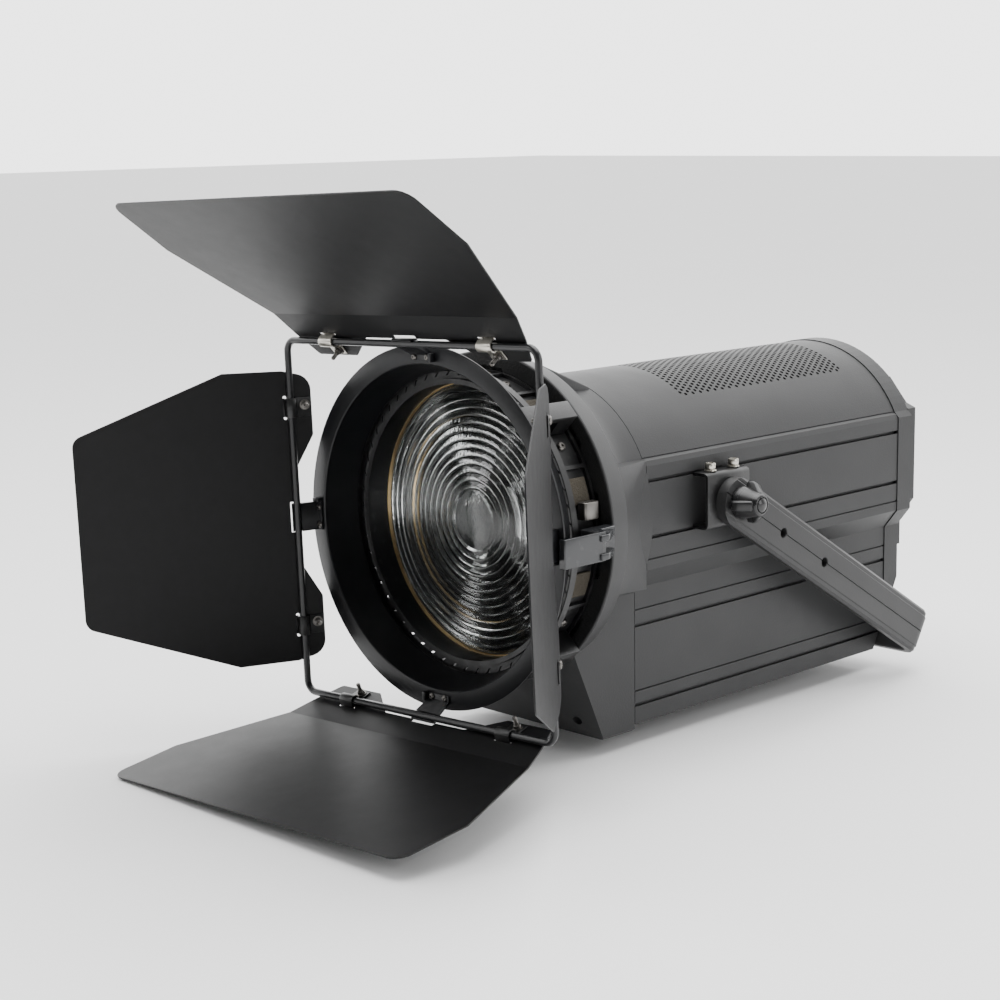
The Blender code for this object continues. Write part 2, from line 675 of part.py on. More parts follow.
def clip_outline():
    """The strap over the wire, seen along it: (outward, away from the sheet), the wire at (0, 0)."""
    inner, outer = WIRE_RADIUS + 0.4 * MM, WIRE_RADIUS + 1.6 * MM
    pad, toe, top = 17 * MM, 7.5 * MM, SHEET_OFFSET - SHEET / 2 - GAP
    under = top - 1.2 * MM
    strap = [(-pad, top), (-pad, under), (-outer, under)] + arc(outer, 180, 360, 10)
    strap += [(outer, under), (toe, under), (toe, top), (inner, top)]
    return strap + arc(inner, 360, 180, 8) + [(-inner, top)]


def make_level_leaf(name, up, opening, finish, clip_finish, barn):
    """The top leaf (up = 1) or the bottom one (up = -1): a hinge strip, then a plate bent inward."""
    anchor = add_anchor(name + "_hinge", (0, 0, up * WIRE_HALF_HEIGHT), barn)
    turn = (-up * opening, 0, 0)
    crease = 28 * MM
    tab = [(134, 3), (124, -20), (76, -20), (47, 2), (16, 2), (16, 8)]
    strip = [(142 * MM, crease)] + [(x * MM, d * MM) for x, d in tab]
    strip = strip + [(-x, d) for x, d in reversed(strip)]
    half = rounded([(0, 0), (142, 0), (176, 96), (174, 162), (0, 162)], {3: 12})[1:-1]
    plate = [(x * MM, d * MM) for x, d in half]
    plate = plate + [(-x, d) for x, d in reversed(plate)]
    level = up * SHEET_OFFSET
    bend, sink = math.cos(PLATE_BEND), -up * math.sin(PLATE_BEND)
    faces = [
        [(x, -d, level) for x, d in strip],
        [(x, -crease - d * bend, level + d * sink) for x, d in plate],
    ]
    add_leaf(name, faces, finish, anchor, turn)
    for mark, place in CLIP_PLACES.items():
        outline = [(-d, up * n) for d, n in clip_outline()]
        clip = prism(outline, place - CLIP_WIDTH / 2, place + CLIP_WIDTH / 2, "X")
        add_mesh("%s_clip_%s" % (name, mark), clip, clip_finish, anchor, turn=turn)


def make_side_leaf(name, side, opening, finish, clip_finish, barn):
    """The right leaf (side = 1) or the left one (side = -1): one flat plate with cut corners."""
    anchor = add_anchor(name + "_hinge", (side * WIRE_HALF_WIDTH, 0, 0), barn)
    turn = (0, 0, side * opening)
    half = [(15, 5), (15, -2), (41, -2), (69, -18), (118, -18), (124, 6), (125, 56), (79, 182), (0, 182)]
    half = rounded(half, {4: 14, 5: 6, 7: 10})[:-1]
    edge = [(z * MM, d * MM) for z, d in half]
    edge = edge + [(-z, d) for z, d in reversed(edge)]
    level = side * SHEET_OFFSET
    add_leaf(name, [[(level, -d, z) for z, d in edge]], finish, anchor, turn)
    for mark, place in CLIP_PLACES.items():
        outline = [(side * n, -d) for d, n in clip_outline()]
        clip = prism(outline, place - CLIP_WIDTH / 2, place + CLIP_WIDTH / 2, "Z")
        add_mesh("%s_clip_%s" % (name, mark), clip, clip_finish, anchor, turn=turn)


# ---------------------------------------------------------------- inside the head


def bulkhead_outline():
    side = [(94.5 * MM, 42 * MM), (94.5 * MM, -46.5 * MM), (82.4 * MM, -62 * MM), (82.4 * MM, -172 * MM)]
    return [(-x, z) for x, z in side[::-1]] + arc(104 * MM, 155.5, 24.5, 20) + side


def make_inside(steel, black, alloy, board, amber, head):
    front, rear = BULKHEAD_FRONT, BULKHEAD_REAR
    plate = add_mesh("front_bulkhead", prism(bulkhead_outline(), front, front + PLATE), black, head)
    combine(plate, rod(BEAM_HOLE, front - 0.01, front + 0.02, steps=48))
    plate = add_mesh("rear_bulkhead", prism(bulkhead_outline(), rear, rear + PLATE), black, head)
    combine(plate, box((-0.038, rear - 0.01, FAN_Z - 0.036), (0.038, rear + 0.02, FAN_Z + 0.036)))
    combine(plate, rod(SCREW_RADIUS + 0.1 * MM, rear - 0.01, rear + 0.02, "Y", (0, 0, SCREW_Z), 20))
    for side, sign in (("right", 1), ("left", -1)):
        centre = (sign * ROD_X, 0, ROD_Z)
        guide = rod(ROD_RADIUS, front + PLATE + GAP, rear - GAP, "Y", centre, 20)
        add_mesh("guide_rod_" + side, guide, steel, head)
    screw = rod(SCREW_RADIUS, front + PLATE + GAP, rear + PLATE + 3 * MM, steps=20)
    add_mesh("lead_screw", screw, steel, head, (0, 0, SCREW_Z))
    motor_front = rear + PLATE + 3.4 * MM
    half = 21 * MM
    shape = rounded([(half, half), (half, -half), (-half, -half), (-half, half)], dict.fromkeys(range(4), 4 * MM), 2)
    motor = prism([(x, z + SCREW_Z) for x, z in shape], motor_front, motor_front + 34 * MM)
    add_mesh("zoom_motor", motor, black, head)
    make_carriage(alloy, amber, head)
    add_mesh("driver_unit", box((-0.068, 0.185, -0.168), (0.068, 0.43, -0.128)), board, head)
    make_fan(black, head)


def make_carriage(alloy, amber, head):
    """The plate that slides on the two rods, with the light engine in front and its fins behind."""
    anchor = add_anchor("zoom_carriage", (0, CARRIAGE_Y, 0), head)
    half = [(14, -118), (14, -58), (82, -58), (82, 20), (50, 60)]
    outline = mirrored([(x * MM, z * MM) for x, z in half])
    carriage = add_mesh("led_carriage", prism(outline, -3 * MM, 3 * MM), alloy, anchor)
    for sign in (1, -1):
        combine(carriage, rod(ROD_RADIUS + 0.1 * MM, -0.01, 0.01, "Y", (sign * ROD_X, 0, ROD_Z), 20))
    combine(carriage, rod(SCREW_RADIUS + 0.1 * MM, -0.01, 0.01, "Y", (0, 0, SCREW_Z), 20))
    module = [(0, -16), (17, -16), (17, -13), (38, -13), (38, -3.4), (0, -3.4)]
    add_mesh("led_module", spun([(r * MM, y * MM) for r, y in module], "Y", 32), amber, anchor)
    fins = 9
    base, tip, wide = 3.4 * MM, 62 * MM, 96 * MM
    step = wide / (2 * fins - 1)
    comb = [(wide / 2, base), (-wide / 2, base)]
    for index in range(fins):
        left = -wide / 2 + 2 * index * step
        root = base + 6 * MM
        comb += [(left, tip), (left + step, tip)]
        if index < fins - 1:
            comb += [(left + step, root), (left + 2 * step, root)]
    add_mesh("heat_sink", prism(comb, -42 * MM, 42 * MM, "Z"), alloy, anchor)


def make_fan(black, head):
    frame = box((-0.040, FAN_FRONT, FAN_Z - 0.040), (0.040, FAN_FRONT + FAN_DEPTH, FAN_Z + 0.040))
    housing = add_mesh("fan_frame", frame, black, head)
    combine(housing, rod(37.5 * MM, FAN_FRONT - 0.01, FAN_FRONT + 0.04, "Y", (0, 0, FAN_Z), 32))
    outline = []
    for blade in range(7):
        start = 360 / 7 * blade
        outline += arc(14 * MM, start, start + 20, 2) + arc(35.5 * MM, start + 24, start + 46, 3)
    anchor = (0, FAN_FRONT, FAN_Z)
    add_mesh("fan_impeller", prism(outline, 3 * MM, 20 * MM), black, head, anchor)


# ---------------------------------------------------------------- assembly


def build():
    clear_scene()
    drop = Vector((0, YOKE_REACH * math.cos(YOKE_DROP), -YOKE_REACH * math.sin(YOKE_DROP)))
    mount = Vector((0, PIVOT_Y, PIVOT_Z)) + drop
    head = add_anchor("lens_axis", -mount)
    pivot = add_anchor("tilt_axis", (0, PIVOT_Y, PIVOT_Z), head)

    casing = finish_of("casing paint", (0.12, 0.12, 0.124), 0.5)
    bar = finish_of("yoke paint", (0.13, 0.13, 0.135), 0.5)
    black = finish_of("black plastic", (0.012, 0.012, 0.013), 0.4)
    leaf = finish_of("leaf paint", (0.014, 0.014, 0.016), 0.45)
    glass = finish_of("lens glass", (0.75, 0.8, 0.82), 0.05)
    zinc = finish_of("zinc plate", (0.62, 0.6, 0.56), 0.3, 1.0)
    steel = finish_of("ground steel", (0.5, 0.5, 0.52), 0.2, 1.0)
    alloy = finish_of("bare alloy", (0.6, 0.61, 0.63), 0.4, 1.0)
    board = finish_of("driver case", (0.3, 0.31, 0.32), 0.45, 0.8)
    amber = finish_of("light engine", (0.75, 0.5, 0.12), 0.5)

    make_yoke(bar, pivot)
    for side, sign in (("right", 1), ("left", -1)):
        make_bracket(side, sign, black, zinc, pivot, head)
        make_knob(side, sign, black, pivot)
    make_casing(casing, head)
    make_bezel(casing, head)
    make_rear(casing, black, head)
    make_safety_eye(zinc, head)
    make_holder(black, head)
    make_lens(glass, black, head)
    make_latch(black, head)
    barn = add_anchor("barn_axis", (0, 0, 0), head)
    barn.rotation_euler = (0, BARN_TURN, 0)
    make_ring(leaf, barn)
    make_wire(leaf, barn)
    make_level_leaf("leaf_top", 1, TOP_OPENING, leaf, zinc, barn)
    make_level_leaf("leaf_bottom", -1, BOTTOM_OPENING, leaf, black, barn)
    make_side_leaf("leaf_right", 1, RIGHT_OPENING, leaf, black, barn)
    make_side_leaf("leaf_left", -1, LEFT_OPENING, leaf, black, barn)
    make_inside(steel, black, alloy, board, amber, head)


build()
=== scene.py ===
"""Fresnel spotlight with a barn door: the detailed pieces, their finishes, the studio and the camera.

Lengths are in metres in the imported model's frame, and at() turns millimetres round the lens axis
into that frame. The beam leaves towards -Y.
"""

import math

import bpy
from mathutils import Euler, Matrix, Vector
from mathutils.kdtree import KDTree


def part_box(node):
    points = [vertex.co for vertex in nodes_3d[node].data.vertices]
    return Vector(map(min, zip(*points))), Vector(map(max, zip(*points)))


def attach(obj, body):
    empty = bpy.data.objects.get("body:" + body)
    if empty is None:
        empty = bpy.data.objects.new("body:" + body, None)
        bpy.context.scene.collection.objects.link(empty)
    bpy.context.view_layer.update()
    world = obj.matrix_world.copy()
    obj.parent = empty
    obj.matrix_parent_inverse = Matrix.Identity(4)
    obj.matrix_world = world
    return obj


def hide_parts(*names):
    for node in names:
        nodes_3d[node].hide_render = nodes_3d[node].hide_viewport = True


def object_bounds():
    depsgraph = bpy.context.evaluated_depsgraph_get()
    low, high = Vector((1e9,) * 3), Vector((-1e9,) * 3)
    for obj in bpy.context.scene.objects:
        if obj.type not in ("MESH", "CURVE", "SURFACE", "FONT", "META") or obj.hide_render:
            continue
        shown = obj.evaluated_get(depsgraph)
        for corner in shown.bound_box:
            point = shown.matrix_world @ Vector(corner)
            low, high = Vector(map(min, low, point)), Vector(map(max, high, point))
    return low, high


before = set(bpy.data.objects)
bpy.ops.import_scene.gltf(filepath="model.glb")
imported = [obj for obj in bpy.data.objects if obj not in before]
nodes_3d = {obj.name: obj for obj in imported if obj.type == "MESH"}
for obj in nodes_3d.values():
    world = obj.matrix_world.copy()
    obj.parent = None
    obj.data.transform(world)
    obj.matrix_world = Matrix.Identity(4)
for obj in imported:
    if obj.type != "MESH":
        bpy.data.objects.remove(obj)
cad_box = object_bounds()

MM = 0.001
wire_low, wire_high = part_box("hinge_wire")
AXIS = (wire_low + wire_high) / 2
knob_low, knob_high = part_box("tilt_knob_right")
PIVOT = Vector((0, (knob_low.y + knob_high.y) / 2, (knob_low.z + knob_high.z) / 2))


def at(x, y, z):
    """A point given in millimetres from the lens axis, in the plane of the hinge wire."""
    return AXIS + Vector((x, y, z)) * MM


# ---------------------------------------------------------------- finishes


def arrange(tree, groups):
    """Puts each group of nodes in a labelled frame, in rows from left to right."""
    for row, (label, members) in enumerate(groups):
        border = tree.nodes.new("NodeFrame")
        border.label = label
        for step, member in enumerate(members):
            member.parent = border
            member.location = (240 * step - 1400, 420 - 340 * row)


def blank_material(name):
    """A new material and its node tree, with nothing in the tree yet."""
    made = bpy.data.materials.new(name)
    made.use_nodes = True
    made.node_tree.nodes.clear()
    return made, made.node_tree


def textured_paint(name, colour, light, tooth, rough, fleck=0.0):
    """Powder coat or moulded skin: a fine tooth, slow drift in shade, and bright flecks where wanted."""
    made, tree = blank_material(name)
    out = tree.nodes.new("ShaderNodeOutputMaterial")
    out.label = "painted surface"
    skin = tree.nodes.new("ShaderNodeBsdfPrincipled")
    skin.label = "coat of paint"
    skin.inputs["Specular IOR Level"].default_value = 0.28
    place = tree.nodes.new("ShaderNodeTexCoord")
    place.label = "place on the lamp"

    drift = tree.nodes.new("ShaderNodeTexNoise")
    drift.label = "slow drift of shade"
    drift.inputs["Scale"].default_value = 9.0
    drift.inputs["Detail"].default_value = 4.0
    shade = tree.nodes.new("ShaderNodeMix")
    shade.label = "paint shade"
    shade.data_type = "RGBA"
    shade.inputs[6].default_value = (*colour, 1)
    shade.inputs[7].default_value = (*light, 1)

    grit = tree.nodes.new("ShaderNodeTexNoise")
    grit.label = "tooth of the coat"
    grit.inputs["Scale"].default_value = 1500.0
    grit.inputs["Detail"].default_value = 2.0
    pits = tree.nodes.new("ShaderNodeTexVoronoi")
    pits.label = "orange peel cells"
    pits.inputs["Scale"].default_value = 620.0
    height = tree.nodes.new("ShaderNodeMath")
    height.label = "tooth over peel"
    height.operation = "MULTIPLY_ADD"
    height.inputs[1].default_value = 0.6
    relief = tree.nodes.new("ShaderNodeBump")
    relief.label = "surface relief"
    relief.inputs["Strength"].default_value = tooth
    relief.inputs["Distance"].default_value = 0.0004

    spots = tree.nodes.new("ShaderNodeTexVoronoi")
    spots.label = "flecks in the skin"
    spots.inputs["Scale"].default_value = 900.0
    chosen = tree.nodes.new("ShaderNodeMapRange")
    chosen.label = "only the brightest flecks"
    chosen.inputs["From Min"].default_value = 0.12
    chosen.inputs["From Max"].default_value = 0.0
    chosen.inputs["To Max"].default_value = fleck
    sparkle = tree.nodes.new("ShaderNodeMix")
    sparkle.label = "flecks over paint"
    sparkle.data_type = "RGBA"
    sparkle.inputs[7].default_value = (0.55, 0.55, 0.54, 1)

    rub = tree.nodes.new("ShaderNodeTexNoise")
    rub.label = "handled patches"
    rub.inputs["Scale"].default_value = 26.0
    rub.inputs["Detail"].default_value = 6.0
    gloss = tree.nodes.new("ShaderNodeMapRange")
    gloss.label = "roughness range"
    gloss.inputs["To Min"].default_value = rough - 0.07
    gloss.inputs["To Max"].default_value = rough + 0.09

    tree.links.new(place.outputs["Object"], drift.inputs["Vector"])
    tree.links.new(drift.outputs["Fac"], shade.inputs[0])
    tree.links.new(place.outputs["Object"], grit.inputs["Vector"])
    tree.links.new(place.outputs["Object"], pits.inputs["Vector"])
    tree.links.new(grit.outputs["Fac"], height.inputs[0])
    tree.links.new(pits.outputs["Distance"], height.inputs[2])
    tree.links.new(height.outputs["Value"], relief.inputs["Height"])
    tree.links.new(relief.outputs["Normal"], skin.inputs["Normal"])
    tree.links.new(place.outputs["Object"], spots.inputs["Vector"])
    tree.links.new(spots.outputs["Distance"], chosen.inputs["Value"])
    tree.links.new(chosen.outputs["Result"], sparkle.inputs[0])
    tree.links.new(shade.outputs[2], sparkle.inputs[6])
    tree.links.new(sparkle.outputs[2], skin.inputs["Base Color"])
    tree.links.new(place.outputs["Object"], rub.inputs["Vector"])
    tree.links.new(rub.outputs["Fac"], gloss.inputs["Value"])
    tree.links.new(gloss.outputs["Result"], skin.inputs["Roughness"])
    tree.links.new(skin.outputs["BSDF"], out.inputs["Surface"])
    arrange(
        tree,
        [
            ("shade", [place, drift, shade, sparkle, skin, out]),
            ("flecks", [spots, chosen]),
            ("relief", [grit, pits, height, relief]),
            ("gloss", [rub, gloss]),
        ],
    )
    return made


DUST_LIFT = 2.2


def sheet_black(name, colour, rough, sheen):
    """Matt black stove enamel on thin sheet: even, with a faint roll and fine dust."""
    made, tree = blank_material(name)
    out = tree.nodes.new("ShaderNodeOutputMaterial")
    out.label = "sheet surface"
    skin = tree.nodes.new("ShaderNodeBsdfPrincipled")
    skin.label = "black enamel"
    skin.inputs["Specular IOR Level"].default_value = 0.25
    skin.inputs["Coat Weight"].default_value = sheen
    skin.inputs["Coat Roughness"].default_value = 0.35
    place = tree.nodes.new("ShaderNodeTexCoord")
    place.label = "place on the sheet"

    dust = tree.nodes.new("ShaderNodeTexNoise")
    dust.label = "dust and fingerprints"
    dust.inputs["Scale"].default_value = 60.0
    dust.inputs["Detail"].default_value = 8.0
    dust.inputs["Roughness"].default_value = 0.7
    tint = tree.nodes.new("ShaderNodeValToRGB")
    tint.label = "enamel to dust"
    tint.color_ramp.elements[0].position = 0.42
    tint.color_ramp.elements[0].color = (*colour, 1)
    tint.color_ramp.elements[1].position = 0.86
    tint.color_ramp.elements[1].color = (*(part * DUST_LIFT for part in colour), 1)

    grain = tree.nodes.new("ShaderNodeTexNoise")
    grain.label = "enamel grain"
    grain.inputs["Scale"].default_value = 1800.0
    roll = tree.nodes.new("ShaderNodeTexNoise")
    roll.label = "roll of the sheet"
    roll.inputs["Scale"].default_value = 14.0
    grain_relief = tree.nodes.new("ShaderNodeBump")
    grain_relief.label = "grain relief"
    grain_relief.inputs["Strength"].default_value = 0.25
    grain_relief.inputs["Distance"].default_value = 0.0002
    roll_relief = tree.nodes.new("ShaderNodeBump")
    roll_relief.label = "roll relief"
    roll_relief.inputs["Strength"].default_value = 0.12
    roll_relief.inputs["Distance"].default_value = 0.004

    rubbed = tree.nodes.new("ShaderNodeMapRange")
    rubbed.label = "roughness range"
    rubbed.inputs["To Min"].default_value = rough - 0.05
    rubbed.inputs["To Max"].default_value = rough + 0.08

    tree.links.new(place.outputs["Object"], dust.inputs["Vector"])
    tree.links.new(dust.outputs["Fac"], tint.inputs["Fac"])
    tree.links.new(tint.outputs["Color"], skin.inputs["Base Color"])
    tree.links.new(dust.outputs["Fac"], rubbed.inputs["Value"])
    tree.links.new(rubbed.outputs["Result"], skin.inputs["Roughness"])
    tree.links.new(place.outputs["Object"], grain.inputs["Vector"])
    tree.links.new(place.outputs["Object"], roll.inputs["Vector"])
    tree.links.new(grain.outputs["Fac"], grain_relief.inputs["Height"])
    tree.links.new(roll.outputs["Fac"], roll_relief.inputs["Height"])
    tree.links.new(roll_relief.outputs["Normal"], grain_relief.inputs["Normal"])
    tree.links.new(grain_relief.outputs["Normal"], skin.inputs["Normal"])
    tree.links.new(skin.outputs["BSDF"], out.inputs["Surface"])
    arrange(
        tree,
        [
            ("enamel", [place, dust, tint, skin, out]),
            ("gloss", [rubbed]),
            ("relief", [grain, roll, roll_relief, grain_relief]),
        ],
    )
    return made


def plated_metal(name, colour, rough, stretch, scale=300.0):
    """Plated, ground or extruded metal: streaks drawn out along one axis and a few dull patches."""
    made, tree = blank_material(name)
    out = tree.nodes.new("ShaderNodeOutputMaterial")
    out.label = "metal surface"
    skin = tree.nodes.new("ShaderNodeBsdfPrincipled")
    skin.label = "bare metal"
    skin.inputs["Metallic"].default_value = 1.0
    place = tree.nodes.new("ShaderNodeTexCoord")
    place.label = "place on the piece"

    draw = tree.nodes.new("ShaderNodeMapping")
    draw.label = "draw the streaks out"
    draw.inputs["Scale"].default_value = stretch
    streak = tree.nodes.new("ShaderNodeTexNoise")
    streak.label = "machining streaks"
    streak.inputs["Scale"].default_value = scale
    streak.inputs["Detail"].default_value = 3.0
    relief = tree.nodes.new("ShaderNodeBump")
    relief.label = "streak relief"
    relief.inputs["Strength"].default_value = 0.2
    relief.inputs["Distance"].default_value = 0.0002

    cloud = tree.nodes.new("ShaderNodeTexNoise")
    cloud.label = "dull patches"
    cloud.inputs["Scale"].default_value = 70.0
    cloud.inputs["Detail"].default_value = 5.0
    tone = tree.nodes.new("ShaderNodeMix")
    tone.label = "bright to dull"
    tone.data_type = "RGBA"
    tone.inputs[6].default_value = (*colour, 1)
    tone.inputs[7].default_value = (colour[0] * 0.6, colour[1] * 0.6, colour[2] * 0.58, 1)
    gloss = tree.nodes.new("ShaderNodeMapRange")
    gloss.label = "roughness range"
    gloss.inputs["To Min"].default_value = rough - 0.06
    gloss.inputs["To Max"].default_value = rough + 0.16

    tree.links.new(place.outputs["Object"], draw.inputs["Vector"])
    tree.links.new(draw.outputs["Vector"], streak.inputs["Vector"])
    tree.links.new(streak.outputs["Fac"], relief.inputs["Height"])
    tree.links.new(relief.outputs["Normal"], skin.inputs["Normal"])
    tree.links.new(place.outputs["Object"], cloud.inputs["Vector"])
    tree.links.new(cloud.outputs["Fac"], tone.inputs[0])
    tree.links.new(tone.outputs[2], skin.inputs["Base Color"])
    tree.links.new(cloud.outputs["Fac"], gloss.inputs["Value"])
    tree.links.new(gloss.outputs["Result"], skin.inputs["Roughness"])
    tree.links.new(skin.outputs["BSDF"], out.inputs["Surface"])
    arrange(
        tree,
        [
            ("tone", [place, cloud, tone, skin, out]),
            ("gloss", [gloss]),
            ("streaks", [draw, streak, relief]),
        ],
    )
    return made


SCUFF_LIFT = 0.05


def moulded_plastic(name, colour, rough, grain):
    """Injection-moulded plastic: spark-eroded grain, flow marks and lighter scuffs."""
    made, tree = blank_material(name)
    out = tree.nodes.new("ShaderNodeOutputMaterial")
    out.label = "plastic surface"
    skin = tree.nodes.new("ShaderNodeBsdfPrincipled")
    skin.label = "moulded plastic"
    skin.inputs["IOR"].default_value = 1.5
    place = tree.nodes.new("ShaderNodeTexCoord")
    place.label = "place on the moulding"

    flow = tree.nodes.new("ShaderNodeTexWave")
    flow.label = "flow marks"
    flow.inputs["Scale"].default_value = 12.0
    flow.inputs["Distortion"].default_value = 9.0
    flow.inputs["Detail"].default_value = 3.0
    scuff = tree.nodes.new("ShaderNodeTexNoise")
    scuff.label = "scuffs"
    scuff.inputs["Scale"].default_value = 140.0
    scuff.inputs["Detail"].default_value = 7.0
    worn = tree.nodes.new("ShaderNodeMapRange")
    worn.label = "only the strongest scuffs"
    worn.inputs["From Min"].default_value = 0.58
    worn.inputs["From Max"].default_value = 0.8
    worn.inputs["To Max"].default_value = 0.55
    tone = tree.nodes.new("ShaderNodeMix")
    tone.label = "plastic to scuff"
    tone.data_type = "RGBA"
    tone.inputs[6].default_value = (*colour, 1)
    tone.inputs[7].default_value = (*(part + SCUFF_LIFT for part in colour), 1)
    gloss = tree.nodes.new("ShaderNodeMapRange")
    gloss.label = "roughness range"
    gloss.inputs["To Min"].default_value = rough
    gloss.inputs["To Max"].default_value = rough + 0.12

    spark = tree.nodes.new("ShaderNodeTexNoise")
    spark.label = "spark grain"
    spark.inputs["Scale"].default_value = 1100.0
    relief = tree.nodes.new("ShaderNodeBump")
    relief.label = "grain relief"
    relief.inputs["Strength"].default_value = grain
    relief.inputs["Distance"].default_value = 0.0003

    tree.links.new(place.outputs["Object"], flow.inputs["Vector"])
    tree.links.new(flow.outputs["Fac"], gloss.inputs["Value"])
    tree.links.new(gloss.outputs["Result"], skin.inputs["Roughness"])
    tree.links.new(place.outputs["Object"], scuff.inputs["Vector"])
    tree.links.new(scuff.outputs["Fac"], worn.inputs["Value"])
    tree.links.new(worn.outputs["Result"], tone.inputs[0])
    tree.links.new(tone.outputs[2], skin.inputs["Base Color"])
    tree.links.new(place.outputs["Object"], spark.inputs["Vector"])
    tree.links.new(spark.outputs["Fac"], relief.inputs["Height"])
    tree.links.new(relief.outputs["Normal"], skin.inputs["Normal"])
    tree.links.new(skin.outputs["BSDF"], out.inputs["Surface"])
    arrange(
        tree,
        [
            ("tone", [place, scuff, worn, tone, skin, out]),
            ("gloss", [flow, gloss]),
            ("grain", [spark, relief]),
        ],
    )
    return made


def pressed_glass(name):
    """Clear pressed glass with a stippled skin, faint pressing ripples and a faint green body."""
    made, tree = blank_material(name)
    out = tree.nodes.new("ShaderNodeOutputMaterial")
    out.label = "glass surface"
    skin = tree.nodes.new("ShaderNodeBsdfPrincipled")
    skin.label = "clear glass"
    skin.inputs["Base Color"].default_value = (0.93, 0.96, 0.95, 1)
    skin.inputs["Transmission Weight"].default_value = 1.0
    skin.inputs["IOR"].default_value = 1.5
    place = tree.nodes.new("ShaderNodeTexCoord")
    place.label = "place on the lens"

    stipple = tree.nodes.new("ShaderNodeTexVoronoi")
    stipple.label = "stipple cells"
    stipple.inputs["Scale"].default_value = 420.0
    ripple = tree.nodes.new("ShaderNodeTexNoise")
    ripple.label = "ripples of the pressing"
    ripple.inputs["Scale"].default_value = 45.0
    ripple.inputs["Detail"].default_value = 3.0
    cells = tree.nodes.new("ShaderNodeBump")
    cells.label = "stipple relief"
    cells.inputs["Strength"].default_value = 0.18
    cells.inputs["Distance"].default_value = 0.0002
    waves = tree.nodes.new("ShaderNodeBump")
    waves.label = "ripple relief"
    waves.inputs["Strength"].default_value = 0.03
    waves.inputs["Distance"].default_value = 0.0005
    haze = tree.nodes.new("ShaderNodeMapRange")
    haze.label = "haze range"
    haze.inputs["To Min"].default_value = 0.02
    haze.inputs["To Max"].default_value = 0.14

    tree.links.new(place.outputs["Object"], stipple.inputs["Vector"])
    tree.links.new(place.outputs["Object"], ripple.inputs["Vector"])
    tree.links.new(ripple.outputs["Fac"], waves.inputs["Height"])
    tree.links.new(stipple.outputs["Distance"], cells.inputs["Height"])
    tree.links.new(waves.outputs["Normal"], cells.inputs["Normal"])
    tree.links.new(cells.outputs["Normal"], skin.inputs["Normal"])
    tree.links.new(ripple.outputs["Fac"], haze.inputs["Value"])
    tree.links.new(haze.outputs["Result"], skin.inputs["Roughness"])
    tree.links.new(skin.outputs["BSDF"], out.inputs["Surface"])
    arrange(
        tree,
        [
            ("glass body", [place, skin, out]),
            ("stipple", [stipple, cells]),
            ("ripple", [ripple, waves, haze]),
        ],
    )
    return made


casing_grey = textured_paint("casing grey paint", (0.022, 0.0222, 0.0228), (0.030, 0.0302, 0.0308), 0.16, 0.45)
bezel_skin = textured_paint("bezel speckled skin", (0.012, 0.0122, 0.0125), (0.020, 0.0202, 0.0205), 0.5, 0.34, 0.3)
yoke_grey = textured_paint("yoke grey paint", (0.025, 0.025, 0.0255), (0.032, 0.032, 0.0325), 0.10, 0.40)
leaf_black = sheet_black("leaf black enamel", (0.0030, 0.0030, 0.0034), 0.42, 0.03)
ring_black = sheet_black("ring black enamel", (0.0040, 0.0042, 0.0050), 0.34, 0.2)
rod_black = sheet_black("rod black gloss", (0.006, 0.006, 0.007), 0.22, 0.5)
inner_black = sheet_black("inside matt black", (0.008, 0.008, 0.009), 0.6, 0.0)
housing_black = moulded_plastic("housing black plastic", (0.004, 0.004, 0.0043), 0.32, 0.25)
knob_black = moulded_plastic("knob black plastic", (0.009, 0.009, 0.0095), 0.24, 0.08)
smoke_plastic = moulded_plastic("catch smoky plastic", (0.020, 0.021, 0.023), 0.14, 0.05)
window_black = moulded_plastic("display window plastic", (0.008, 0.010, 0.013), 0.06, 0.0)
button_rubber = moulded_plastic("button rubber", (0.03, 0.03, 0.032), 0.55, 0.3)
zinc = plated_metal("zinc plate", (0.66, 0.63, 0.57), 0.28, (1, 1, 0.2))
zinc_dark = plated_metal("blackened zinc", (0.20, 0.19, 0.18), 0.32, (1, 1, 1))
steel = plated_metal("ground steel", (0.56, 0.56, 0.58), 0.20, (1, 0.04, 1))
alloy = plated_metal("sawn alloy", (0.72, 0.73, 0.75), 0.36, (1, 0.1, 1), 180.0)
driver_sheet = plated_metal("driver case sheet", (0.42, 0.43, 0.45), 0.42, (0.1, 1, 1), 220.0)
engine_gold = plated_metal("light engine rim", (0.80, 0.58, 0.30), 0.34, (1, 1, 1), 260.0)
lens_glass = pressed_glass("lens glass")
fibre_pad = textured_paint("fibre pad", (0.02, 0.017, 0.012), (0.07, 0.06, 0.045), 0.9, 0.85, 0.6)

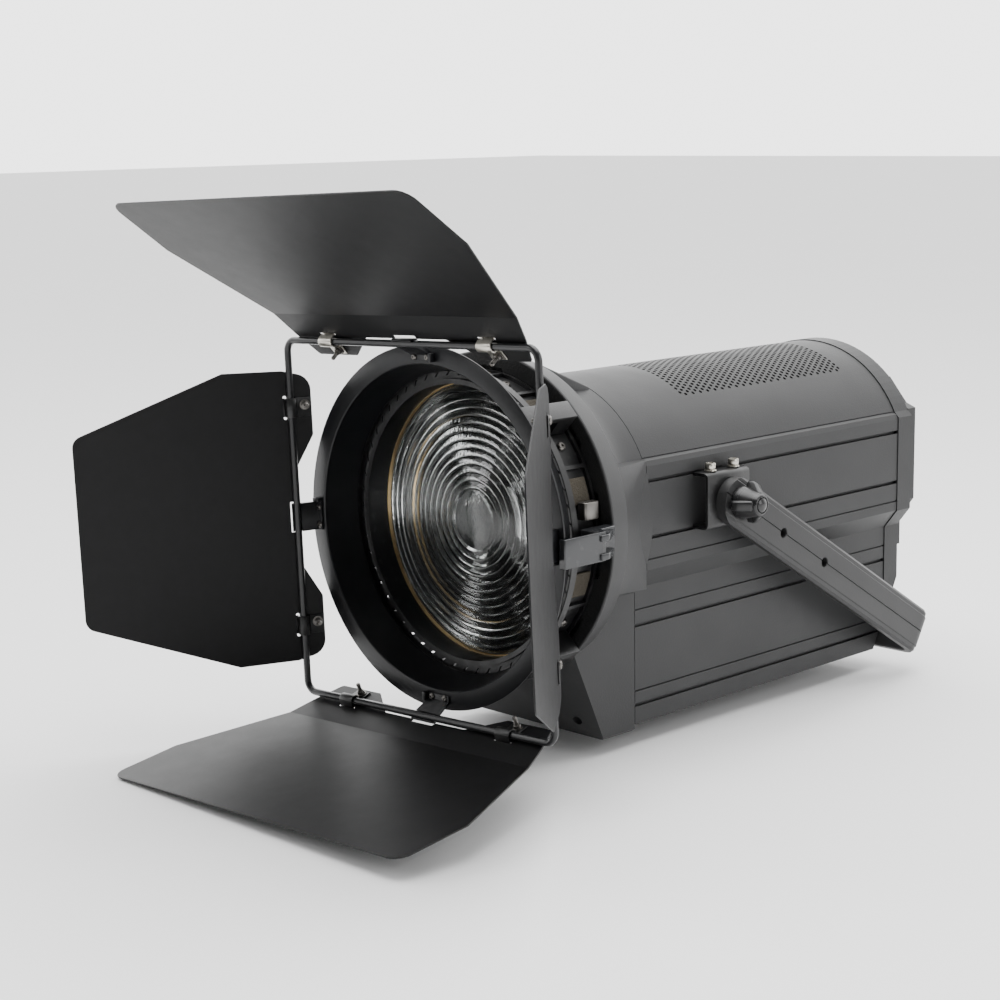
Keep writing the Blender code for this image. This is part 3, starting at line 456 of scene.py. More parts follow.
SIDES = ("right", "left")
CAD_FINISHES = {
    casing_grey: ["side_panel_right", "side_panel_left", "top_cover", "bottom_panel", "rear_cap", "rear_panel"],
    bezel_skin: ["front_bezel"],
    yoke_grey: ["yoke"],
    leaf_black: ["leaf_top", "leaf_bottom", "leaf_left", "leaf_right"],
    ring_black: ["barn_ring", "rail_bracket_right", "rail_bracket_left"],
    rod_black: ["hinge_wire"],
    inner_black: ["front_bulkhead", "rear_bulkhead", "fan_frame", "fan_impeller", "zoom_motor"],
    housing_black: ["accessory_holder", "lens_retainer", "data_inlet", "data_outlet", "power_inlet", "power_outlet"],
    knob_black: ["tilt_knob_right", "tilt_knob_left"],
    smoke_plastic: ["accessory_latch"],
    window_black: ["display_window"],
    button_rubber: ["menu_button_1", "menu_button_2", "menu_button_3", "menu_button_4"],
    zinc: ["pivot_bolt_right", "pivot_bolt_left", "safety_eye", "leaf_top_clip_a", "leaf_top_clip_b"],
    steel: ["guide_rod_right", "guide_rod_left", "lead_screw"],
    alloy: ["led_carriage", "heat_sink"],
    driver_sheet: ["driver_unit"],
    engine_gold: ["led_module"],
    lens_glass: ["lens"],
}
CAD_FINISHES[zinc] += ["rail_screw_%s_%s" % (side, order) for side in SIDES for order in ("front", "rear")]
CAD_FINISHES[ring_black] += ["leaf_%s_clip_%s" % (leaf, mark) for leaf in ("bottom",) + SIDES for mark in "ab"]
for finish, names in CAD_FINISHES.items():
    for name in names:
        nodes_3d[name].data.materials.clear()
        nodes_3d[name].data.materials.append(finish)


# ---------------------------------------------------------------- modelling tools


def draw(name, points, closed=False):
    """Draws a chain of vertices by extruding one after another. It stays in edit mode."""
    bpy.ops.object.select_all(action="DESELECT")
    bpy.ops.mesh.primitive_plane_add(size=0.01, location=points[0])
    piece = bpy.context.object
    piece.name = name
    bpy.ops.object.transform_apply(location=True, rotation=True, scale=True)
    bpy.ops.object.mode_set(mode="EDIT")
    bpy.ops.mesh.select_mode(type="VERT")
    bpy.ops.mesh.select_all(action="SELECT")
    bpy.ops.mesh.merge(type="CENTER")
    for here, after in zip(points, points[1:]):
        bpy.ops.mesh.extrude_region_move(TRANSFORM_OT_translate={"value": after - here})
    if closed:
        bpy.ops.mesh.select_all(action="SELECT")
        bpy.ops.mesh.edge_face_add()
    return piece


def close_up():
    """Merges what meets, turns every face outwards and leaves edit mode."""
    bpy.ops.mesh.select_all(action="SELECT")
    bpy.ops.mesh.remove_doubles(threshold=0.00001)
    bpy.ops.mesh.normals_make_consistent(inside=False)
    bpy.ops.object.mode_set(mode="OBJECT")


def lathe(name, profile, steps=96, centre=None, axis=(0, 1, 0), ring=False):
    """Spins (radius, along) points, in millimetres, round an axis through a centre."""
    centre = AXIS if centre is None else centre
    along = Vector(axis)
    across = Vector((0, 0, 1))
    points = [centre + across * r * MM + along * a * MM for r, a in profile]
    if ring:
        points.append(points[0])
    piece = draw(name, points)
    bpy.ops.mesh.select_all(action="SELECT")
    bpy.ops.mesh.spin(steps=steps, angle=math.tau, center=centre, axis=axis)
    close_up()
    return piece


def slab(name, points, thickness):
    """Fills an outline of world points and pulls it out along a vector."""
    piece = draw(name, points, closed=True)
    bpy.ops.mesh.select_all(action="SELECT")
    bpy.ops.mesh.extrude_region_move(TRANSFORM_OT_translate={"value": thickness})
    close_up()
    return piece


def chamfer(piece, width, segments=2, angle=35):
    """Breaks the sharp edges of a piece by a width in millimetres."""
    bpy.context.view_layer.objects.active = piece
    step = piece.modifiers.new("broken edges", "BEVEL")
    step.width = width * MM
    step.segments = segments
    step.limit_method = "ANGLE"
    step.angle_limit = math.radians(angle)
    bpy.ops.object.modifier_apply(modifier=step.name)


def cut(piece, tool, operation="DIFFERENCE", overlapping=False):
    """Cuts a tool out of a piece, or joins it on, and throws the tool away. Either may hold overlapping lumps."""
    bpy.context.view_layer.objects.active = piece
    step = piece.modifiers.new("cut", "BOOLEAN")
    step.operation = operation
    step.solver = "EXACT"
    step.use_self = overlapping
    step.object = tool
    bpy.ops.object.modifier_apply(modifier=step.name)
    bpy.data.objects.remove(tool)


def fit(piece, finish, body, replaced=(), angle=30):
    """Gives a finished piece its shading, its finish and the body that it rides on."""
    bpy.ops.object.select_all(action="DESELECT")
    piece.select_set(True)
    bpy.context.view_layer.objects.active = piece
    bpy.ops.object.shade_smooth_by_angle(angle=math.radians(angle))
    if not piece.data.materials:
        piece.data.materials.append(finish)
    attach(piece, body)
    if replaced:
        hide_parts(*replaced)


def merge(pieces):
    """Joins pieces into the first one."""
    bpy.ops.object.select_all(action="DESELECT")
    for piece in pieces:
        piece.select_set(True)
    bpy.context.view_layer.objects.active = pieces[0]
    bpy.ops.object.join()
    return pieces[0]


# ---------------------------------------------------------------- lens

LENS_STEPS = 13
LENS_DISC = 26.0
LENS_EDGE = 112.0


def lens_face(radius):
    """How far back the lens's front stands at a radius, before its steps are cut."""
    return 66.0 + 5.0 * (radius / LENS_EDGE) ** 2


def make_lens():
    """Clear lens with a smooth centre and steps that grow towards the edge."""
    pitch = (LENS_EDGE - LENS_DISC) / LENS_STEPS
    profile = [(0, 66.0), (9, 66.15), (17, 66.6), (22.5, 67.3), (24.8, 68.0)]
    for step in range(LENS_STEPS):
        start = LENS_DISC + step * pitch
        crest = lens_face(start)
        fall = 2.4 + 0.09 * step
        profile += [
            (start, crest + 0.5),
            (start + 0.6, crest),
            (start + 1.5, crest + 0.15),
            (start + pitch * 0.5, crest + fall * 0.36),
            (start + pitch * 0.8, crest + fall * 0.75),
            (start + pitch - 0.45, crest + fall),
        ]
    profile += [(LENS_EDGE, 74.0), (LENS_EDGE, 82.8), (0, 82.8)]
    lens = lathe("fresnel_lens", profile, steps=120)
    fit(lens, lens_glass, "head", ["lens"], 24)


make_lens()

# ---------------------------------------------------------------- top cover with its field of vents

COVER_RADIUS = 109.5
VENT_PITCH = 5.6
VENT_RADIUS = 1.7
VENT_ROW = VENT_PITCH * math.sin(math.radians(60))
VENT_FRONT = 247.0
VENT_COLUMNS = 26
VENT_ROWS = 48


def make_cover():
    """A flat sheet laid out with the vents on a staggered lattice, then rolled to the cover's arch."""
    side = 5
    columns = VENT_COLUMNS + 2 * side
    half_sheet = COVER_RADIUS * math.radians(63.0)
    half_field = VENT_PITCH * VENT_COLUMNS / 2
    across = []
    for step in range(columns + 1):
        if step < side:
            across.append(-half_sheet + (half_sheet - half_field) * step / side)
        elif step > columns - side:
            across.append(half_sheet - (half_sheet - half_field) * (columns - step) / side)
        else:
            across.append(-half_field + VENT_PITCH * (step - side))
    along = [162.0] + [VENT_FRONT + VENT_ROW * step for step in range(-1, VENT_ROWS + 1)] + [512.0]
    bpy.ops.object.select_all(action="DESELECT")
    bpy.ops.mesh.primitive_grid_add(x_subdivisions=columns, y_subdivisions=len(along) - 1, size=1)
    cover = bpy.context.object
    cover.name = "vented_cover"
    vents = []
    for vertex in cover.data.vertices:
        column = round((vertex.co.x + 0.5) * columns)
        row = round((vertex.co.y + 0.5) * (len(along) - 1))
        inside = side < column < columns - side and 2 <= row <= VENT_ROWS + 1
        shift = VENT_PITCH / 2 if inside and row % 2 and column < columns - side else 0
        vertex.co = (across[column] + shift, along[row], 0)
        last = columns - side - 1
        vents.append(inside and not (column == last and row % 2))
    lattice = KDTree(sum(vents))
    for index, (vertex, vent) in enumerate(zip(cover.data.vertices, vents)):
        if vent:
            lattice.insert(vertex.co, index)
    lattice.balance()
    bpy.ops.object.mode_set(mode="EDIT")
    bpy.ops.mesh.select_all(action="SELECT")
    bpy.ops.mesh.quads_convert_to_tris(quad_method="SHORTEST_DIAGONAL")
    bpy.ops.mesh.select_all(action="DESELECT")
    bpy.ops.mesh.select_mode(type="VERT")
    bpy.ops.object.mode_set(mode="OBJECT")
    for vertex, vent in zip(cover.data.vertices, vents):
        vertex.select = vent
    bpy.ops.object.mode_set(mode="EDIT")
    bpy.ops.mesh.bevel(offset=VENT_RADIUS, segments=1, affect="VERTICES")
    bpy.ops.mesh.select_mode(type="FACE")
    bpy.ops.mesh.select_all(action="DESELECT")
    bpy.ops.object.mode_set(mode="OBJECT")
    for face in cover.data.polygons:
        face.select = lattice.find(face.center)[2] < 0.2
    bpy.ops.object.mode_set(mode="EDIT")
    bpy.ops.mesh.delete(type="ONLY_FACE")
    bpy.ops.mesh.select_mode(type="EDGE")
    bpy.ops.mesh.select_all(action="DESELECT")
    bpy.ops.object.mode_set(mode="OBJECT")
    for edge in cover.data.edges:
        ends = [cover.data.vertices[index].co for index in edge.vertices]
        edge.select = lattice.find((ends[0] + ends[1]) / 2)[2] < VENT_RADIUS * 0.9
    bpy.ops.object.mode_set(mode="EDIT")
    bpy.ops.mesh.subdivide(number_cuts=1)
    bpy.ops.object.mode_set(mode="OBJECT")
    for vertex in cover.data.vertices:
        centre, _, reach = lattice.find(vertex.co)
        if reach < VENT_RADIUS * 1.02:
            vertex.co = centre + (vertex.co - centre).normalized() * VENT_RADIUS
    for vertex in cover.data.vertices:
        angle = vertex.co.x / COVER_RADIUS
        vertex.co = at(COVER_RADIUS * math.sin(angle), vertex.co.y, COVER_RADIUS * math.cos(angle))
    wall = cover.modifiers.new("sheet", "SOLIDIFY")
    wall.thickness = 1.5 * MM
    wall.offset = -1
    bpy.ops.object.modifier_apply(modifier=wall.name)
    fit(cover, casing_grey, "head", ["top_cover"], 50)


make_cover()

# ---------------------------------------------------------------- bezel

BEZEL_RADIUS = 137.0
BEZEL_BACK = 161.6
FOOT_BOTTOM = -181.5
MOUTH_NOTCHES = ((0, 16), (40, 6), (90, 8), (140, 6), (180, 16), (220, 6), (270, 10), (320, 6))


def about_lens(degrees):
    """The turn about the lens axis that carries what points to the right to an angle on the rim."""
    return Matrix.Translation(AXIS) @ Matrix.Rotation(math.radians(-degrees), 4, "Y") @ Matrix.Translation(-AXIS)


def rim_points(radius, depth, first, last, steps):
    """Points along the rim between two angles in degrees, at a radius and a depth."""
    found = []
    for step in range(steps + 1):
        angle = math.radians(first + (last - first) * step / steps)
        found.append(at(radius * math.cos(angle), depth, radius * math.sin(angle)))
    return found


def wrap(name, points):
    """The tightest closed skin round some points."""
    piece = draw(name, points)
    bpy.ops.mesh.select_all(action="SELECT")
    bpy.ops.mesh.convex_hull()
    close_up()
    return piece


def rim_notch(angle, reach, half):
    """The outline of a notch in the bezel's mouth, half degrees to each side of an angle."""
    outer = rim_points(reach, 80, angle - half, angle + half, 8)
    inner = rim_points(112, 80, angle + half + 1, angle - half - 1, 6)
    return outer + inner


def make_bezel():
    """The round moulded front with its two flanks, foot and top rib, bored out for the lens.

    Each lump stands a little past the back by its own amount and one block trims them all, so that no two
    faces lie in one plane when they are joined.
    """
    profile = [
        (0, 84),
        (135.6, 84),
        (136.6, 84.5),
        (137, 85.6),
        (136.6, 88),
        (131.6, 107.2),
        (130.4, 108.8),
        (128.0, 110.2),
        (121.5, 114.6),
        (116.2, 120.4),
        (112.6, 127.4),
        (110.4, 135.5),
        (109.6, 144),
        (109.3, 152),
        (109.3, BEZEL_BACK + 0.1),
        (0, BEZEL_BACK + 0.1),
    ]
    lumps = [lathe("moulded_bezel", profile, steps=144)]
    back = BEZEL_BACK + 0.2
    for sign in (1, -1):
        rim = rim_points(136.4, 86.2, -20.6, 21.9, 18)
        points = [Vector((sign * point.x, point.y, point.z)) for point in rim]
        for x in (102.3, 88.0):
            points += [at(sign * x, back, 48.6), at(sign * x, back, -58.5)]
        points += [at(sign * 90, 86.2, -47), at(sign * 90, 86.2, 50)]
        lumps.append(wrap("flank", points))
    back = BEZEL_BACK + 0.3
    foot = rim_points(136.0, 86.4, -48, -132, 24)
    for sign in (1, -1):
        foot += [at(sign * 88.8, 123, FOOT_BOTTOM + 2), at(sign * 88.8, back, FOOT_BOTTOM + 2)]
        foot += [at(sign * 86.8, 124, FOOT_BOTTOM), at(sign * 86.8, back, FOOT_BOTTOM)]
        foot += [at(sign * 88.8, back, -55), at(sign * 88.8, 90, -60)]
    lumps.append(wrap("foot", foot))
    back = BEZEL_BACK + 0.4
    rib = [(100, 125), (102, 126), (107.5, 126), (back, 103.4), (back, 94), (100, 94)]
    block = slab("rib", [at(-41, y, z) for y, z in rib], Vector((82 * MM, 0, 0)))
    chamfer(block, 2.2, 3, 60)
    lumps.append(block)
    bore = [(0, 70), (119.4, 70), (119.4, 84.3), (118, 85.4), (118, 99.4), (106, 99.4), (106, 190), (0, 190)]
    tools = [lathe("bore", bore, steps=140)]
    for angle, half in MOUTH_NOTCHES:
        tools.append(slab("notch", rim_notch(angle, 125.5, half), Vector((0, 9 * MM, 0))))
    hollow = [(104, -97), (131, -177), (200, -177), (200, -50), (104, -50)]
    tools.append(slab("hollow", [at(-85, y, z) for y, z in hollow], Vector((170 * MM, 0, 0))))
    tools.append(lathe("well", [(0, 0), (5.2, 0), (5.2, 14), (0, 14)], 24, at(70, 104, -170), (0, 0.87, 0.49)))
    trim = [(-150, -200), (150, -200), (150, 150), (-150, 150)]
    tools.append(slab("trim", [at(x, BEZEL_BACK, z) for x, z in trim], Vector((0, 20 * MM, 0))))
    bezel = merge(lumps)
    cut(bezel, merge(tools), overlapping=True)
    fit(bezel, casing_grey, "head", ["front_bezel"], 16)
    bezel.data.materials.append(bezel_skin)
    for face in bezel.data.polygons:
        place = (face.center - AXIS) / MM
        reach = math.hypot(place.x, place.z)
        if face.normal.y < -0.9 and place.y < 90 and reach < BEZEL_RADIUS:
            face.material_index = 1


make_bezel()

# ---------------------------------------------------------------- ribbed holder round the lens

HOLDER_RIBS = 20
HOLDER_SLOTS = 56


def make_holder():
    """The slotted and ribbed drum in front of the lens, and the four arms that carry the barn door."""
    drum = [
        (113.6, 50),
        (117.6, 50),
        (117.6, 53),
        (125.9, 53),
        (125.9, 49.3),
        (126.2, 49.0),
        (126.8, 49.0),
        (127.1, 49.3),
        (127.1, 55.4),
        (119.4, 55.4),
        (119.4, 80.6),
        (122.4, 80.6),
        (122.4, 83.2),
        (117.6, 83.6),
        (117.6, 99),
        (108, 99),
        (108, 83.4),
        (113.6, 83.4),
    ]
    holder = lathe("ribbed_holder", drum, steps=128, ring=True)
    slots = []
    for step in range(HOLDER_SLOTS):
        angle = 360 / HOLDER_SLOTS * step
        outer = rim_points(124.4, 45, angle - 1.5, angle - 0.4, 1)
        inner = rim_points(120.3, 45, angle + 1.5, angle + 0.4, 1)
        slots.append(slab("slot", outer + inner, Vector((0, 20 * MM, 0))))
    cut(holder, merge(slots))
    bars = []
    for step in range(HOLDER_RIBS):
        side = [(55, -1.6), (55, 1.6), (81, 1.6), (81, -1.6)]
        bar = slab("bar", [at(118.4, y, z) for y, z in side], Vector((4.2 * MM, 0, 0)))
        bar.data.transform(about_lens(360 / HOLDER_RIBS * (step + 0.5)))
        bars.append(bar)
    merge([holder] + bars)
    fit(holder, housing_black, "head", ["accessory_holder"])
    arms = []
    arm = [(120, 62), (135.8, 60), (136.2, 21.2), (137.4, 19.8), (140.6, 19.8), (141.4, 21), (141, 79), (120, 79)]
    for angle in (45, 135, 225, 315):
        made = slab("arm", [at(r, y, -8) for r, y in arm], Vector((0, 0, 16 * MM)))
        chamfer(made, 0.8, 2, 50)
        made.data.transform(about_lens(angle))
        arms.append(made)
    fit(merge(arms), housing_black, "head")
    bpy.context.object.name = "ring_arms"


def make_pads():
    """Heat-proof fibre pads between the ribs, and the screws that hold the drum."""
    pads = []
    screws = []
    for step in range(HOLDER_RIBS):
        angle = 360 / HOLDER_RIBS * step
        if step % 2:
            points = rim_points(119.6, 58, angle - 5, angle + 5, 6) + rim_points(121.6, 58, angle + 5, angle - 5, 6)
            pad = slab("pad", points, Vector((0, 20 * MM, 0)))
            chamfer(pad, 0.5, 2, 50)
            pads.append(pad)
        else:
            out = Vector((math.cos(math.radians(angle)), 0, math.sin(math.radians(angle))))
            head = [(0, 0), (3.6, 0), (3.6, 1.6), (2.9, 2.5), (1.2, 2.6), (1.0, 1.2), (0, 1.2)]
            screws.append(turned_at("screw", head, AXIS + out * 119.4 * MM + Vector((0, 68 * MM, 0)), out, 20))
    fit(merge(pads), fibre_pad, "head", angle=40)
    bpy.context.object.name = "fibre_pads"
    fit(merge(screws), zinc_dark, "head")
    bpy.context.object.name = "drum_screws"
    gasket = lathe("lens_gasket", [(112.9, 71.5), (113.5, 71.5), (113.5, 75), (112.9, 75)], 128, ring=True)
    fit(gasket, engine_gold, "head", ["lens_retainer"], 40)


def turned_at(name, profile, base, out, steps):
    """Spins a profile of (radius, height) about any direction from a base point."""
    piece = lathe(name, profile, steps, Vector((0, 0, 0)), (0, 1, 0))
    aim = Vector((0, 1, 0)).rotation_difference(out).to_matrix().to_4x4()
    piece.data.transform(Matrix.Translation(base) @ aim)
    return piece


make_holder()
make_pads()


# ---------------------------------------------------------------- barn door ring, wire and clips

BARN_TURN = Matrix.Translation(AXIS) @ Matrix.Rotation(math.radians(-2.5), 4, "Y")
WIRE_HALF_WIDTH = 147.0
WIRE_HALF_HEIGHT = 150.0
REACHES = {0: WIRE_HALF_WIDTH, 90: WIRE_HALF_HEIGHT, 180: WIRE_HALF_WIDTH, 270: WIRE_HALF_HEIGHT}


def arc(radius, first, last, steps, centre=(0, 0)):
    """Points along an arc, with its angles in degrees."""
    found = []
    for step in range(steps + 1):
        angle = math.radians(first + (last - first) * step / steps)
        found.append((centre[0] + radius * math.cos(angle), centre[1] + radius * math.sin(angle)))
    return found


def make_ring():
    """The dished ring of the barn door, with a tab curled round the wire on each side."""
    section = [(147.5, 17.7), (148, 18.0), (148, 18.9), (147.6, 19.2), (145.4, 19.2), (145.3, 22.5), (145.0, 22.8)]
    section += [(144.1, 22.8), (143.8, 22.5), (143.8, 19.3), (134.8, 19.3), (133.8, 20.2), (125.7, 47.4), (125.2, 48)]
    section += [(124.4, 48), (124.0, 47.4), (131.6, 21.8), (132.3, 18.4), (133.2, 17.7)]
    ring = lathe("barn_door_ring", section, 128, ring=True)
    tabs = []
    screws = []
    for angle, reach in REACHES.items():
        side = [(135.4, 17.6), (135.4, 16.3), (140.0, 16.3)]
        side += arc(3.4, 150, -60, 14, (reach, 0)) + arc(4.7, -60, 80, 12, (reach, 0)) + [(142.2, 17.6)]
        turn = about_lens(angle)
        tab = slab("tab", [at(r, y, -12) for r, y in side], Vector((0, 0, 24 * MM)))
        chamfer(tab, 0.35, 2, 50)
        ear = [(134.6, -12.2), (134.6, -15.4), (141.6, -15.4), (141.6, -12.2)]
        lug = slab("lug", [at(r, 12.5, z) for r, z in ear], Vector((0, 5.2 * MM, 0)))
        chamfer(lug, 0.4, 2, 50)
        merge([tab, lug])
        tab.data.transform(turn)
        tabs.append(tab)
        head = [(0, 0), (2.6, 0), (2.6, 0.7), (1.9, 1.5), (0.9, 1.6), (0.7, 0.9), (0, 0.9)]
        for across in (-7.5, 7.5):
            spot = turn @ at(138.0, 16.3, across)
            screws.append(turned_at("screw", head, spot, Vector((0, -1, 0)), 18))
    merge([ring] + tabs)
    ring.data.transform(BARN_TURN @ Matrix.Translation(-AXIS))
    fit(ring, ring_black, "barn_door", ["barn_ring"], 32)
    screws = merge(screws)
    screws.name = "tab_screws"
    screws.data.transform(BARN_TURN @ Matrix.Translation(-AXIS))
    fit(screws, zinc_dark, "barn_door")


def make_wire():
    """The round rod bent to a frame that the four leaves hinge on."""
    corner = 10.0
    path = []
    for quarter, (sx, sz) in enumerate(((1, 1), (-1, 1), (-1, -1), (1, -1))):
        centre = (sx * (WIRE_HALF_WIDTH - corner), sz * (WIRE_HALF_HEIGHT - corner))
        path += arc(corner, 90 * quarter, 90 * quarter + 90, 10, centre)
    draw("bent_wire", [BARN_TURN @ (Vector((x, 0, z)) * MM) for x, z in path + path[:1]])
    bpy.ops.mesh.select_all(action="SELECT")
    bpy.ops.mesh.remove_doubles(threshold=0.00001)
    bpy.ops.object.mode_set(mode="OBJECT")
    bpy.ops.object.convert(target="CURVE")
    wire = bpy.context.object
    wire.data.bevel_depth = 3.0 * MM
    wire.data.bevel_resolution = 5
    bpy.ops.object.convert(target="MESH")
    wire = bpy.context.object
    wire.name = "bent_wire"
    bpy.ops.object.mode_set(mode="EDIT")
    close_up()
    fit(wire, rod_black, "barn_door", ["hinge_wire"], 40)


class Leaf:
    """Where a leaf stands: u runs along its hinge, d away from it across the sheet, n from the wire to the sheet."""

    def __init__(self, name, up, side, opening):
        self.name = name
        self.up = up
        self.side = side
        if up:
            hinge = Matrix.Translation(Vector((0, 0, up * WIRE_HALF_HEIGHT)) * MM)
            swing = Matrix.Rotation(math.radians(-up * opening), 4, "X")
        else:
            hinge = Matrix.Translation(Vector((side * WIRE_HALF_WIDTH, 0, 0)) * MM)
            swing = Matrix.Rotation(math.radians(side * opening), 4, "Z")
        self.stand = BARN_TURN @ hinge @ swing

    def spot(self, u, d, n):
        """The world point of a place on the leaf, given in millimetres."""
        local = Vector((u, -d, self.up * n)) if self.up else Vector((self.side * n, -d, u))
        return self.stand @ (local * MM)

    def way(self, u, d, n):
        """The world vector of a step on the leaf."""
        return self.spot(u, d, n) - self.spot(0, 0, 0)


LEAVES = [
    Leaf("top", 1, 0, 48),
    Leaf("bottom", -1, 0, 20),
    Leaf("right", 0, 1, 39.5),
    Leaf("left", 0, -1, 29),
]
CLIPS = {"a": -93.0, "b": 93.0}
SHEET_LEVEL = 3.6
SHEET_THICKNESS = 1.2


def make_clips(leaf):
    """The straps that hold a leaf on the wire, each clamped by a bolt through the tab behind the hinge."""
    bright = leaf.name == "top"
    for mark, place in CLIPS.items():
        strap = [(-17, 3.3), (-17, 2.1), (-5.4, 2.1)] + arc(4.7, 200, 345, 14) + [(4.9, 2.4), (4.9, 5.1), (9, 5.1)]
        strap += [(9, 6.2), (3.7, 6.2), (3.7, 0.2)] + arc(3.4, 345, 200, 12) + [(-4.6, 3.3)]
        points = [leaf.spot(place - 8, d, n) for d, n in strap]
        clip = slab("strap", points, leaf.way(16, 0, 0))
        chamfer(clip, 0.3, 2, 50)
        clip.name = "hinge_strap_%s_%s" % (leaf.name, mark)
        metal = zinc if bright else housing_black
        node = "leaf_%s_clip_%s" % (leaf.name, mark)
        fit(clip, metal, "flap_" + leaf.name, [node], 35)
        down = leaf.way(0, 0, -1).normalized()
        base = leaf.spot(place + 2, -12.0, 2.0)
        washer = [(0, 0), (4.4, 0), (4.4, 0.8), (3.2, 0.9), (3.0, 3.2), (2.2, 3.5), (2.2, 4.4)]
        stud = washer + [(1.5, 4.6), (1.9, 5.2), (1.5, 5.8), (1.9, 6.4), (1.5, 7.0), (1.9, 7.6), (1.5, 8.2), (1.9, 8.8)]
        stud += [(1.6, 10.2), (1.2, 10.6), (0, 10.6)]
        bolt = turned_at("bolt", stud, base, down, 18)
        cap = [(0, 0), (3.6, 0), (3.6, 0.8), (2.7, 1.8), (1.2, 2.1), (1.0, 1.2), (0, 1.2)]
        fixings = merge([bolt, turned_at("cap", cap, leaf.spot(place + 2, -12.0, 4.9), -down, 20)])
        fixings.name = "clip_bolts_%s_%s" % (leaf.name, mark)
        fit(fixings, zinc_dark, "flap_" + leaf.name)


# ---------------------------------------------------------------- leaves

PLATE_BEND = math.radians(12)

def rounded(outline, radii, steps=5):
    """Rounds the corners of an outline. radii maps a corner's index to its radius."""
    found = []
    for index, corner in enumerate(outline):
        here = Vector(corner)
        radius = radii.get(index, 0)
        if not radius:
            found.append(corner)
            continue
        back = (Vector(outline[index - 1]) - here).normalized()
        on = (Vector(outline[(index + 1) % len(outline)]) - here).normalized()
        half = back.angle(on) / 2
        centre = here + (back + on).normalized() * radius / math.sin(half)
        start = here + back * radius / math.tan(half) - centre
        end = here + on * radius / math.tan(half) - centre
        for step in range(steps + 1):
            found.append(tuple(centre + start.lerp(end, step / steps).normalized() * radius))
    return found


def mirrored(half):
    """A whole outline from its right half."""
    return half + [(-a, b) for a, b in reversed(half)]


def slotted(leaf, sheet):
    """Cuts the round-ended slots that the straps pass through, one at each clip."""
    for place in CLIPS.values():
        ends = arc(1.5, -90, 90, 5, (place + 8.7, 4.6)) + arc(1.5, 90, 270, 5, (place - 8.7, 4.6))
        cut(sheet, slab("slot", [leaf.spot(u, d, 2) for u, d in ends], leaf.way(0, 0, 6)))


def make_level_leaf(leaf):
    """A hinge strip with two tabs behind the wire, then a plate bent inwards."""
    strip = [(142, 28), (134, 3), (124, -20), (76, -20), (47, 2), (13, 2), (13, 5.6)]
    strip = rounded(strip, {2: 3, 3: 3, 4: 4})
    sheet = slab("sheet", [leaf.spot(u, d, SHEET_LEVEL) for u, d in mirrored(strip)], leaf.way(0, 0, SHEET_THICKNESS))
    plate = rounded([(0, 0), (142, 0), (176, 96), (174, 162), (0, 162)], {2: 5, 3: 13})[1:-1]
    plate[0] = (141.9, -0.2)
    along, sink = math.cos(PLATE_BEND), -math.sin(PLATE_BEND)
    places = [leaf.spot(u, 28 + d * along, SHEET_LEVEL + d * sink) for u, d in mirrored(plate)]
    flat = leaf.way(0, math.sin(PLATE_BEND) * SHEET_THICKNESS, math.cos(PLATE_BEND) * SHEET_THICKNESS)
    cut(sheet, slab("plate", places, flat), "UNION")
    slotted(leaf, sheet)
    chamfer(sheet, 0.35, 2, 60)
    sheet.name = "folded_leaf_" + leaf.name
    fit(sheet, leaf_black, "flap_" + leaf.name, ["leaf_" + leaf.name], 8)


def make_side_leaf(leaf):
    """One flat plate with cut corners and a tab at each clip."""
    half = [(13, 5.2), (13, -2), (41, -2), (69, -18), (118, -18), (124, 6), (125, 56), (79, 182), (0, 182)]
    half = rounded(half, {2: 3, 3: 4, 4: 14, 5: 6, 7: 10})[:-1]
    sheet = slab("sheet", [leaf.spot(u, d, SHEET_LEVEL) for u, d in mirrored(half)], leaf.way(0, 0, SHEET_THICKNESS))
    slotted(leaf, sheet)
    chamfer(sheet, 0.35, 2, 60)
    sheet.name = "plain_leaf_" + leaf.name
    fit(sheet, leaf_black, "flap_" + leaf.name, ["leaf_" + leaf.name], 8)


make_ring()
make_wire()
for leaf in LEAVES:
    make_clips(leaf)
    if leaf.up:
        make_level_leaf(leaf)
    else:
        make_side_leaf(leaf)


# ---------------------------------------------------------------- yoke, knobs and rail brackets

YOKE_STAND = Matrix.Translation(PIVOT) @ Matrix.Rotation(math.radians(-31), 4, "X")
YOKE_REACH = 323.0
YOKE_BEND = 16
YOKE_HALF_BAR = 20.5
YOKE_HALF_GAP = 114


def millimetres(*place):
    """A vector given in millimetres."""
    return Vector(place) * MM


def turn_corner(centre):
    """Sweeps the selected end face a quarter turn round a corner."""
    bpy.ops.mesh.spin(steps=10, angle=math.radians(-90), center=centre, axis=(0, 0, 1))


